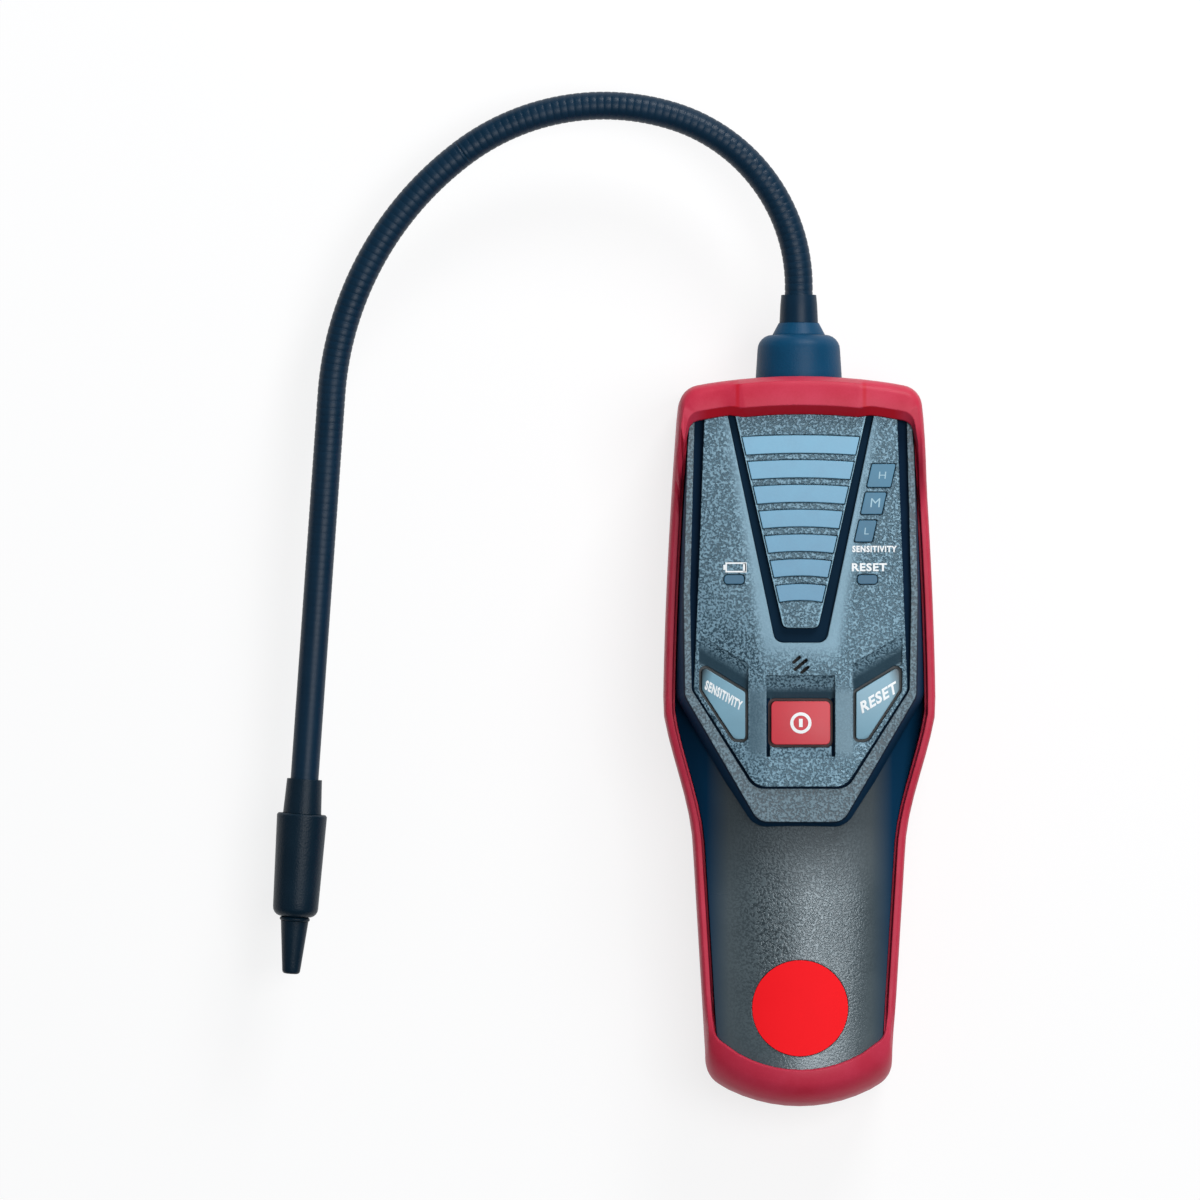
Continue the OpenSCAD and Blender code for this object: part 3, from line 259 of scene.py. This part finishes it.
def coverPlastic(name, look):
    # the grip, the steep walls and the flat ledge are told apart by their height over the crown
    paint = Paint(name)
    x, y, z = (paint.part(k) for k in range(3))
    top, radius = cover["crown"]
    crown = (radius * radius - x * x) ** 0.5 + (top - radius)
    raised = paint.ramp(z - crown, *cover["over"])
    ledge = paint.ramp(z, *cover["ledge"])
    # below this height the grip's flanks take the wall look: painted shade where they turn away from the
    # light
    lit = paint.ramp(z, *cover["lit"])
    sunk = paint.ramp(z, *cover["deck"])
    # painted shadow of the chin on the grip below the head: darker and rougher there
    chinShadow = paint.ramp(y, *cover["chinShadow"])
    steep = paint.clamp(raised * (1 - ledge) + (1 - raised) * (1 - lit))
    speck, broad = pebbles(paint, look)
    # the specks are grain in the bump, and in the base colour also painted glints, fading towards the sides
    # and the head where the highlight ends
    wide = 1 - paint.ramp(abs(x), *cover["grainAndGlintWide"])
    strength = wide * (0.3 + 0.7 * paint.ramp(y, *cover["grainAndGlintLow"]))
    even = paint.clamp((speck - 0.5) * strength * 0.6 + broad * 0.3 + 0.3)
    grip = paint.mix(even * (1 - chinShadow * 0.7), look["dark"], look["light"])
    gripDull = dulled(look["rough"], broad, pebble["vary"]) + 0.4 * chinShadow
    rim = paint.mix(paint.ramp(speck * 0.85 + broad * 0.3, 0.1, 1.05), cover["rimDeep"], cover["rim"])
    rimDull = dulled(cover["rimRough"], broad, pebble["vary"])
    grains = speck * (strength * (1 - raised) + raised)
    return paint.finish({
        "Base Color": paint.mix(raised, grip, rim),
        "Roughness": gripDull * (1 - raised) + raised * rimDull,
        "Normal": paint.bump(grains, look["depth"], pebble["press"], paint.edge(cover["edge"])),
        "Specular IOR Level": look["shine"],
        "Specular Tint": look["tint"],
    # steep walls and flanks: a darker navy, painted shade; the groove floors above the deck darker still,
    # partly their own dark and partly painted shade
    }, steep, {
        "Base Color": paint.mix(sunk * (0.7 + 0.6 * broad), cover["wall"], cover["floor"]),
        "Roughness": dulled(cover["wallRough"], broad, cover["wallVary"]),
        "Specular IOR Level": cover["wallShine"],
    })


moulded = {
    "fine": 0.5 * mm, "broad": 9 * mm, "vary": 0.14, "press": 0.5,
    "gap": 0.6 * mm, "gapShade": 0.12,  # painted shade: how soon and how far a key darkens in its gap
}


def mouldedPlastic(name, colour, rough, worn=0.12, edge=0.35 * mm, coat=0.0, shine=0.5, sink=None,
                   grained=0.03 * mm):
    # a sink is the height below which a key gets painted shade in its gap
    paint = Paint(name)
    fine = paint.noise(moulded["fine"], 2)
    broad = paint.noise(moulded["broad"], 3)
    deep, lit = shaded(colour, 1 - worn), shaded(colour, 1 + worn, 0.002)
    skin = paint.mix(paint.ramp(broad * 0.7 + fine * 0.3, 0.25, 0.75), deep, lit)
    if sink:
        # painted shade on the key's side in its gap
        clear = paint.ramp(paint.part(2), sink - moulded["gap"], sink)
        skin = paint.mix(clear, shaded(colour, moulded["gapShade"]), skin)
    return paint.finish({
        "Base Color": skin,
        "Roughness": dulled(rough, broad, moulded["vary"]),
        "Normal": paint.bump(fine, grained, moulded["press"], paint.edge(edge)),
        "Coat Weight": coat,
        "Specular IOR Level": shine,
    })


boot = {
    "lit": tone(198, 56, 82), "deep": tone(184, 38, 62), "shade": tone(186, 6, 28),
    "fine": 0.4 * mm, "broad": 14 * mm, "rough": 0.44, "vary": 0.16, "shine": 0.2,
    "grained": 0.03 * mm, "press": 0.6, "round": 0.5 * mm,
    "edge": (152.1 * mm, -61.5 * mm), "slant": 0.2 * mm,  # radius and middle of the bumper's inner edge
    "step": (16.3 * mm, 17.7 * mm), "back": 0.9 * mm, "middle": (25 * mm, 28 * mm),
    "low": (84 * mm, 85 * mm), "high": (97 * mm, 95.8 * mm), "top": (40 * mm, 41 * mm),
}


def bootRubber():
    # the bumper's slanted inner edge and the steps beside its middle get painted shade, as they turn away
    # from the light
    paint = Paint("bootRubber")
    x, y, z = (paint.part(k) for k in range(3))
    fine = paint.noise(boot["fine"], 2)
    broad = paint.noise(boot["broad"], 4, 0.6)
    radius, base = boot["edge"]
    across = x * x
    beside = paint.ramp(across, *(s * s for s in boot["step"]))
    line = (radius * radius - across) ** 0.5 + base + beside * boot["back"]
    middle = 1 - paint.ramp(across, *(s * s for s in boot["middle"]))
    slant = paint.ramp(line - y, 0.0, boot["slant"]) * middle
    step = beside * (1 - beside) * 3 * paint.ramp(y, *boot["high"])
    # painted shade on the slanted edge and the steps
    dark = paint.clamp(slant + step) * paint.ramp(y, *boot["low"]) * paint.ramp(z, *boot["top"])
    skin = paint.mix(paint.ramp(broad * 0.8 + fine * 0.2, 0.3, 0.7), boot["deep"], boot["lit"])
    return paint.finish({
        "Base Color": paint.mix(dark * 0.85, skin, boot["shade"]),
        "Roughness": dulled(boot["rough"], broad, boot["vary"]),
        "Normal": paint.bump(fine, boot["grained"], boot["press"], paint.edge(boot["round"])),
        "Specular IOR Level": boot["shine"],
    })


metal = {
    "drawn": (1.0, 12.0, 1.0), "fine": 0.9 * mm, "deep": 0.75,
    "vary": 0.2, "scratch": 0.01 * mm, "press": 0.4,
}


def brushedMetal(name, colour, rough):
    paint = Paint(name)
    drawn = paint.node("ShaderNodeMapping", {}, {"Vector": paint.place, "Scale": metal["drawn"]})
    fine = paint.noise(metal["fine"], 3, 0.6, drawn)
    return paint.finish({
        "Base Color": paint.mix(fine, shaded(colour, metal["deep"]), colour),
        "Roughness": dulled(rough, fine, metal["vary"]),
        "Metallic": 1.0,
        "Normal": paint.bump(fine, metal["scratch"], metal["press"]),
    })


lens = {
    "bar": {"top": tone(116, 172, 202), "foot": tone(88, 142, 174), "rough": 0.34, "run": (36 * mm, 84 * mm)},
    "level": {"top": tone(66, 124, 154), "foot": tone(36, 92, 122), "rough": 0.4, "run": (42 * mm, 74 * mm)},
    "haze": 4 * mm, "fine": 0.6 * mm, "vary": 0.12, "grained": 0.02 * mm, "press": 0.4,
    "edge": 0.3 * mm, "shine": 0.4,
}


def lensPlastic(name, look):
    paint = Paint(name)
    haze = paint.noise(lens["haze"], 3)
    fine = paint.noise(lens["fine"], 2)
    high = paint.ramp(paint.part(1), *look["run"])
    shade = paint.ramp(high * 0.6 + haze * 0.5 + fine * 0.15, 0.3, 0.95)
    return paint.finish({
        "Base Color": paint.mix(shade, look["foot"], look["top"]),
        "Roughness": dulled(look["rough"], haze, lens["vary"]),
        "Normal": paint.bump(fine, lens["grained"], lens["press"], paint.edge(lens["edge"])),
        "Specular IOR Level": lens["shine"],
    })


print("materials")
coarse = 0.14 * mm  # grain of the collar and the tip
inkEdge = 0.05 * mm
looks = {
    "face_plastic": grainedPlastic("facePlastic", grain["face"], True),
    "cover_plastic": coverPlastic("gripPlastic", grain["grip"]),
    "rear_plastic": grainedPlastic("rearPlastic", grain["rear"]),
    "boot_rubber": bootRubber(),
    "trim_black": mouldedPlastic("trimBlack", tone(3, 32, 52), 0.8, shine=0.1),
    "lens_blue": lensPlastic("lensBar", lens["bar"]),
    "lens_level": lensPlastic("lensLevel", lens["level"]),
    "key_red": mouldedPlastic("keyRed", tone(200, 42, 58), 0.45, 0.06, sink=42.9 * mm),
    "key_blue": mouldedPlastic("keyBlue", tone(120, 164, 184), 0.4, 0.06, sink=42.0 * mm),
    "badge_red": mouldedPlastic("badgeRed", tone(255, 24, 34), 0.65, 0.04, 0.2 * mm, shine=0.1),
    "board_green": mouldedPlastic("boardGreen", tone(28, 105, 62), 0.4, coat=0.2),
    "part_black": mouldedPlastic("partBlack", tone(30, 31, 33), 0.5),
    "part_cream": mouldedPlastic("partCream", tone(222, 214, 190), 0.45),
    "steel": brushedMetal("platedSteel", tone(196, 198, 200), 0.32),
    "cell_wrap": mouldedPlastic("cellWrap", tone(176, 140, 62), 0.3, coat=0.3),
    "collar_navy": mouldedPlastic("collarNavy", tone(0, 64, 98), 0.46, shine=0.18, grained=coarse),
    "tip_navy": mouldedPlastic("tipNavy", tone(0, 28, 44), 0.4, shine=0.18, grained=coarse),
    "neck_black": mouldedPlastic("neckBlack", tone(0, 36, 58), 0.4, shine=0.2),
    "sensor_white": mouldedPlastic("sensorWhite", tone(214, 212, 200), 0.5),
    "print_white": mouldedPlastic("printWhite", tone(240, 244, 246), 0.5, 0.03, inkEdge),
    "print_pale": mouldedPlastic("printPale", tone(160, 196, 212), 0.5, 0.03, inkEdge),
}

# pieces whose look isn't the one of their slot
ownLooks = {
    "rear_plastic": ("rear_cover", "battery_door"),
    "lens_level": ("level_lens_high", "level_lens_mid", "level_lens_low", "battery_lens", "reset_lens"),
    "tip_navy": ("sensor_housing", "tip_sleeve", "sensor_nozzle", "tip_seal"),
}
dressing = {"weld": 2e-6, "crisp": 28, "bootCrisp": 38}  # the angles are in degrees


def dress(node, material):
    # a CAD piece keeps its mesh: it is welded, split at its hard edges and shaded smooth
    solid = frame["nodes"][node]
    solid.data.materials.clear()
    solid.data.materials.append(material)
    weld = solid.modifiers.new("weld", "WELD")
    weld.merge_threshold = dressing["weld"]
    split = solid.modifiers.new("split", "EDGE_SPLIT")
    split.split_angle = math.radians(dressing["bootCrisp" if node == "rubber_boot" else "crisp"])
    solid.data.polygons.foreach_set("use_smooth", [True] * len(solid.data.polygons))


wears = {row["node"]: row["material_slot"] for row in frame["record"]["subparts"]}
wears.update({node: look for look, nodes in ownLooks.items() for node in nodes})
for node in frame["nodes"]:
    dress(node, looks[wears[node]])


def meshFrom(name, bm, rounded=False):
    bmesh.ops.recalc_face_normals(bm, faces=bm.faces)
    mesh = bpy.data.meshes.new(name)
    bm.to_mesh(mesh)
    bm.free()
    mesh.polygons.foreach_set("use_smooth", [rounded] * len(mesh.polygons))
    return mesh


def piece(name, mesh, material, body=None):
    made = bpy.data.objects.new(name, mesh)
    bpy.context.scene.collection.objects.link(made)
    mesh.materials.clear()
    mesh.materials.append(material)
    if body:
        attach(made, body)
    return made


# the gooseneck: a ribbed tube along the route, as two pieces that meet at the arch's end
neck = {
    "height": 20 * mm, "crest": 3.8 * mm, "groove": 3.72 * mm, "pitch": 2.0 * mm, "sides": 28,
    "start": (0.0, 111.0 * mm), "heading": math.radians(90),
    # stretches: straight length, or radius and turn
    "lower": [(12.3 * mm, 0, 0), (0, 48.4 * mm, 73), (0, 63.6 * mm, 54)],
    "upper": [(0, 90.0 * mm, 49), (110.5 * mm, 0, 0)],
    # share of the pitch and of the groove's depth
    "rib": [(0.0, 0.0), (0.3, 0.0), (0.38, 0.5), (0.44, 1.0), (0.56, 1.0), (0.62, 0.5), (0.7, 0.0)],
    "fade": (60 * mm, 150 * mm, 0.12),
}


def routePlace(stretches, start, heading, run=math.inf):
    # place and heading after a run along straight and round stretches, or at their end
    at = Vector(start)
    for straight, radius, turn in stretches:
        length = straight or radius * math.radians(turn)
        part = min(run, length)
        ahead = Vector((math.cos(heading), math.sin(heading)))
        if straight:
            at = at + ahead * part
        else:
            swing = part / radius
            side = Vector((-ahead.y, ahead.x))
            at = at + radius * (side * (1 - math.cos(swing)) + ahead * math.sin(swing))
            heading += swing
        run -= part
        if run <= 0:
            break
    return at, heading


def routeLength(stretches):
    return sum(straight or radius * math.radians(turn) for straight, radius, turn in stretches)


def ribbedTube(name, stretches, start, heading, fade=None):
    # with a fade, the ribs grow shallow between two runs, down to a least share
    total = routeLength(stretches)
    count = round(total / neck["pitch"])
    pitch = total / count
    bm = bmesh.new()
    ring = bmesh.ops.create_circle(bm, segments=neck["sides"], radius=1.0)["verts"]
    edges = bm.edges[:]
    flat = {v: v.co.copy() for v in ring}

    def settle(verts, run, radius):
        at, turned = routePlace(stretches, start, heading, run)
        middle = Vector((at.x, at.y, neck["height"]))
        across = Vector((-math.sin(turned), math.cos(turned), 0))
        for v in verts:
            v.co = middle + radius * (across * flat[v].x + Vector((0, 0, flat[v].y)))

    steps = [(k * pitch + share * pitch, depth) for k in range(count) for share, depth in neck["rib"]]
    steps.append((total, 0.0))
    for index, (run, depth) in enumerate(steps):
        if fade:
            low, high, least = fade
            depth *= 1 - (1 - least) * min(max((run - low) / (high - low), 0.0), 1.0)
        radius = neck["crest"] - depth * (neck["crest"] - neck["groove"])
        if index:
            last = set(ring)
            grown = bmesh.ops.extrude_edge_only(bm, edges=edges)["geom"]
            fresh = [g for g in grown if isinstance(g, bmesh.types.BMVert)]
            edges = [g for g in grown if isinstance(g, bmesh.types.BMEdge)]
            for v in fresh:
                flat[v] = flat[next(e.other_vert(v) for e in v.link_edges if e.other_vert(v) in last)]
            ring = fresh
        settle(ring, run, radius)
    bmesh.ops.holes_fill(bm, edges=[e for e in bm.edges if e.is_boundary], sides=0)
    return meshFrom(name, bm, True)


def neckPiece(name, stretches, start, heading, fade=None):
    tube = ribbedTube(name, stretches, start, heading, fade)
    return piece(name, tube, looks["neck_black"])


print("gooseneck")
firstStraight = neck["lower"][0][0]
lowerEnd, lowerHeading = routePlace(neck["lower"], neck["start"], neck["heading"])
bendStart, _ = routePlace(neck["lower"], neck["start"], neck["heading"], firstStraight)
bendEnd, _ = routePlace(neck["lower"][:2], neck["start"], neck["heading"])
swingEnd, _ = routePlace(neck["upper"][:1], lowerEnd, lowerHeading)
lowerNeck = neckPiece("neckLower", neck["lower"], neck["start"], neck["heading"])
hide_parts("neck_base", "neck_arch")
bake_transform(lowerNeck)
upperNeck = neckPiece("neckUpper", neck["upper"], lowerEnd, lowerHeading, neck["fade"])
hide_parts("neck_bend", "neck_leg")
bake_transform(upperNeck)

# printed marks, laid on the surface that carries them
ink = {"thick": 0.05 * mm, "merge": 1e-7, "spacing": 3.2, "curve": 3}
keyRadius = 70 * mm


def onDome(x0, y0, top):
    def height(x, y):
        across = (x - x0 * mm) ** 2 + (y - y0 * mm) ** 2
        return top * mm - keyRadius + math.sqrt(keyRadius ** 2 - across)
    return height


def onFlat(z):
    return lambda x, y: z


def layMark(name, mesh, place, surface, body, colour="print_white"):
    # a flat mark is turned into place, sunk a little into the surface and thickened to a closed solid
    mesh.transform(place)
    bm = bmesh.new()
    bm.from_mesh(mesh)
    bmesh.ops.remove_doubles(bm, verts=bm.verts, dist=ink["merge"])
    for v in bm.verts:
        v.co.z = surface(v.co.x, v.co.y) - ink["thick"]
    grown = bmesh.ops.extrude_face_region(bm, geom=bm.faces[:], use_keep_orig=True)["geom"]
    for v in (g for g in grown if isinstance(g, bmesh.types.BMVert)):
        v.co.z += 2 * ink["thick"]
    return piece(name, meshFrom(name, bm), looks[colour], body)


def words(text, width, height, bold):
    # made at unit size, as small letters don't fill well, then centred and fitted to a width and height in mm
    curve = bpy.data.curves.new("words", "FONT")
    curve.body = text
    curve.offset = bold
    curve.space_character = 1 + ink["spacing"] * bold
    curve.align_x = "CENTER"
    curve.align_y = "CENTER"
    curve.resolution_u = ink["curve"]
    holder = bpy.data.objects.new("words", curve)
    bpy.context.scene.collection.objects.link(holder)
    laid = holder.evaluated_get(bpy.context.evaluated_depsgraph_get())
    mesh = bpy.data.meshes.new_from_object(laid)
    bpy.data.objects.remove(holder)
    bpy.data.curves.remove(curve)
    low = [min(v.co[k] for v in mesh.vertices) for k in range(2)]
    high = [max(v.co[k] for v in mesh.vertices) for k in range(2)]
    mesh.transform(Matrix.Translation((-(low[0] + high[0]) / 2, -(low[1] + high[1]) / 2, 0)))
    mesh.transform(Matrix.Diagonal((width * mm / (high[0] - low[0]), height * mm / (high[1] - low[1]), 1, 1)))
    return mesh


def spread(at, turn=0.0, lean=0.0):
    shear = Matrix(((1, lean, 0, 0), (0, 1, 0, 0), (0, 0, 1, 0), (0, 0, 0, 1)))
    turned = Matrix.Rotation(math.radians(turn), 4, "Z")
    return Matrix.Translation((at[0] * mm, at[1] * mm, 0)) @ turned @ shear


print("marks")
faceTop = onFlat(43.0 * mm)
lensTop = onFlat(43.25 * mm)
leftDome = onDome(-11.5, 13.5, 43.2)
rightDome = onDome(11.5, 13.5, 43.2)
# text, its width, height and boldness, its place, turn and lean, and what carries it
marks = {
    "levelWord": ("SENSITIVITY", (12.0, 1.75, 0.045), ((19.8, 52.0),), faceTop, "housing", "print_white"),
    "resetWord": ("RESET", (9.4, 2.2, 0.035), ((18.4, 47.1),), faceTop, "housing", "print_white"),
    "levelHigh": ("H", (1.9, 1.9, 0.0), ((21.9, 71.8), 0, 0.1), lensTop, "housing", "print_pale"),
    "levelMid": ("M", (2.5, 2.4, 0.0), ((20.0, 64.4), 0, 0.1), lensTop, "housing", "print_pale"),
    "levelLow": ("L", (1.2, 1.8, 0.0), ((17.7, 56.8), 0, 0.1), lensTop, "housing", "print_pale"),
    "levelKeyWord": ("SENSITIVITY", (11.4, 2.5, 0.05), ((-20.7, 12.7), -31, -0.3), leftDome,
                     "sensitivity_button", "print_white"),
    "resetKeyWord": ("RESET", (11.2, 3.0, 0.035), ((21.0, 12.2), 31, 0.36), rightDome,
                     "reset_button", "print_white"),
}
for name, (text, size, place, surface, body, colour) in marks.items():
    layMark(name, words(text, *size), spread(*place), surface, body, colour)


def ringMark(inner, outer, sides=48):
    bm = bmesh.new()
    bmesh.ops.create_circle(bm, segments=sides, radius=inner)
    bmesh.ops.create_circle(bm, segments=sides, radius=outer)
    bmesh.ops.bridge_loops(bm, edges=bm.edges)
    return meshFrom("ringMark", bm)


def barMark(width, height):
    bm = bmesh.new()
    bmesh.ops.create_grid(bm, x_segments=2, y_segments=4, size=0.5)
    bmesh.ops.scale(bm, vec=(width, height, 1), verts=bm.verts)
    return meshFrom("barMark", bm)


def frameMark(width, height, line):
    bm = bmesh.new()
    bmesh.ops.create_grid(bm, x_segments=1, y_segments=1, size=0.5)
    bmesh.ops.scale(bm, vec=(width, height, 1), verts=bm.verts)
    bmesh.ops.inset_region(bm, faces=bm.faces[:], thickness=line, use_boundary=True, use_even_offset=True)
    bm.faces.ensure_lookup_table()
    middle = min(bm.faces, key=lambda f: f.calc_center_median().length)
    bmesh.ops.delete(bm, geom=[middle], context="FACES_ONLY")
    return meshFrom("frameMark", bm)


powerSign = {"at": (0, 5.3), "top": 43.5, "ring": (2.0 * mm, 2.85 * mm), "bar": (1.0 * mm, 2.2 * mm)}
batterySign = {
    "frame": (5.7 * mm, 2.7 * mm, 0.42 * mm), "frameAt": (-17.4, 47.05),
    "tip": (0.6 * mm, 1.3 * mm), "tipAt": (-20.5, 47.05),
    "level": (0.8 * mm, 2.2 * mm), "levelAt": (-15.1, 47.05),
}
powerDome = onDome(*powerSign["at"], powerSign["top"])
powerPlace = spread(powerSign["at"])
layMark("powerRing", ringMark(*powerSign["ring"]), powerPlace, powerDome, "power_button")
layMark("powerBar", barMark(*powerSign["bar"]), powerPlace, powerDome, "power_button")
layMark("batteryFrame", frameMark(*batterySign["frame"]), spread(batterySign["frameAt"]), faceTop, "housing")
layMark("batteryTip", barMark(*batterySign["tip"]), spread(batterySign["tipAt"]), faceTop, "housing")
layMark("batteryLevel", barMark(*batterySign["level"]), spread(batterySign["levelAt"]), faceTop, "housing")

# floor, light and camera
print("stage")
ground = {
    "half": 6.0, "below": 0.2 * mm, "matt": (0.86, 0.86, 0.87, 1),
    "glow": (1, 1, 1, 1), "strength": 1.05, "share": 0.75,
}
bm = bmesh.new()
bmesh.ops.create_grid(bm, x_segments=1, y_segments=1, size=ground["half"])
floorMesh = meshFrom("floor", bm)
floorMesh.transform(Matrix.Translation((0, 0, -ground["below"])))
floor = bpy.data.objects.new("floor", floorMesh)
bpy.context.scene.collection.objects.link(floor)
floorPaint = Paint("floorPale")
seen, glossy, through = (floorPaint.node("ShaderNodeLightPath", {}, {}, f"Is {kind} Ray")
                         for kind in ("Camera", "Glossy", "Transmission"))
share = floorPaint.clamp(seen + glossy + through) * ground["share"]
matt = floorPaint.node("ShaderNodeBsdfDiffuse", {}, {"Color": ground["matt"]})
glow = floorPaint.node("ShaderNodeEmission", {}, {"Color": ground["glow"], "Strength": ground["strength"]})
both = floorPaint.node("ShaderNodeMixShader", {}, {0: share, 1: matt, 2: glow})
floorPaint.node("ShaderNodeOutputMaterial", {}, {"Surface": both})
floorMesh.materials.append(floorPaint.material)

sky = {"Color": (0.9, 0.95, 1.0, 1), "Strength": 0.2}
world = bpy.data.worlds.new("studio")
bpy.context.scene.world = world
world.use_nodes = True
for key, value in sky.items():
    world.node_tree.nodes["Background"].inputs[key].default_value = value

lamps = {
    "keyBox": {"at": (0.3, 0.95, 0.55), "towards": (-0.02, 0.0, 0.03), "size": (0.45, 0.3), "power": 7.5},
    "sideBox": {"at": (-0.9, 0.1, 0.7), "towards": (-0.03, 0.0, 0.02), "size": (0.5, 0.7), "power": 0.3},
    "overBox": {"at": (0.38, 0.12, 1.4), "towards": (-0.03, 0.03, 0.02), "size": (0.56, 0.9), "power": 11.5},
}


def lamp(name, at, towards, size, power):
    light = bpy.data.lights.new(name, "AREA")
    light.shape = "RECTANGLE"
    light.size, light.size_y = size
    light.energy = power
    holder = bpy.data.objects.new(name, light)
    bpy.context.scene.collection.objects.link(holder)
    holder.location = at
    holder.rotation_mode = "QUATERNION"
    holder.rotation_quaternion = (Vector(towards) - Vector(at)).to_track_quat("-Z", "Y")
    holder.visible_camera = False


for name, box in lamps.items():
    lamp(name, **box)

view = {
    "centre": (-53.9 * mm, 38.3 * mm), "width": 324 * mm, "height": 30 * mm,
    "lens": 250.0, "sensor": 36.0, "farthest": 50,
}
camera = bpy.data.cameras.new("camera")
camera.lens = view["lens"]
camera.sensor_width = view["sensor"]
camera.clip_end = view["farthest"]
holder = bpy.data.objects.new("camera", camera)
bpy.context.scene.collection.objects.link(holder)
away = view["width"] / view["sensor"] * view["lens"]
holder.location = (*view["centre"], view["height"] + away)
bpy.context.scene.camera = holder
bpy.context.scene.view_settings.view_transform = "Standard"
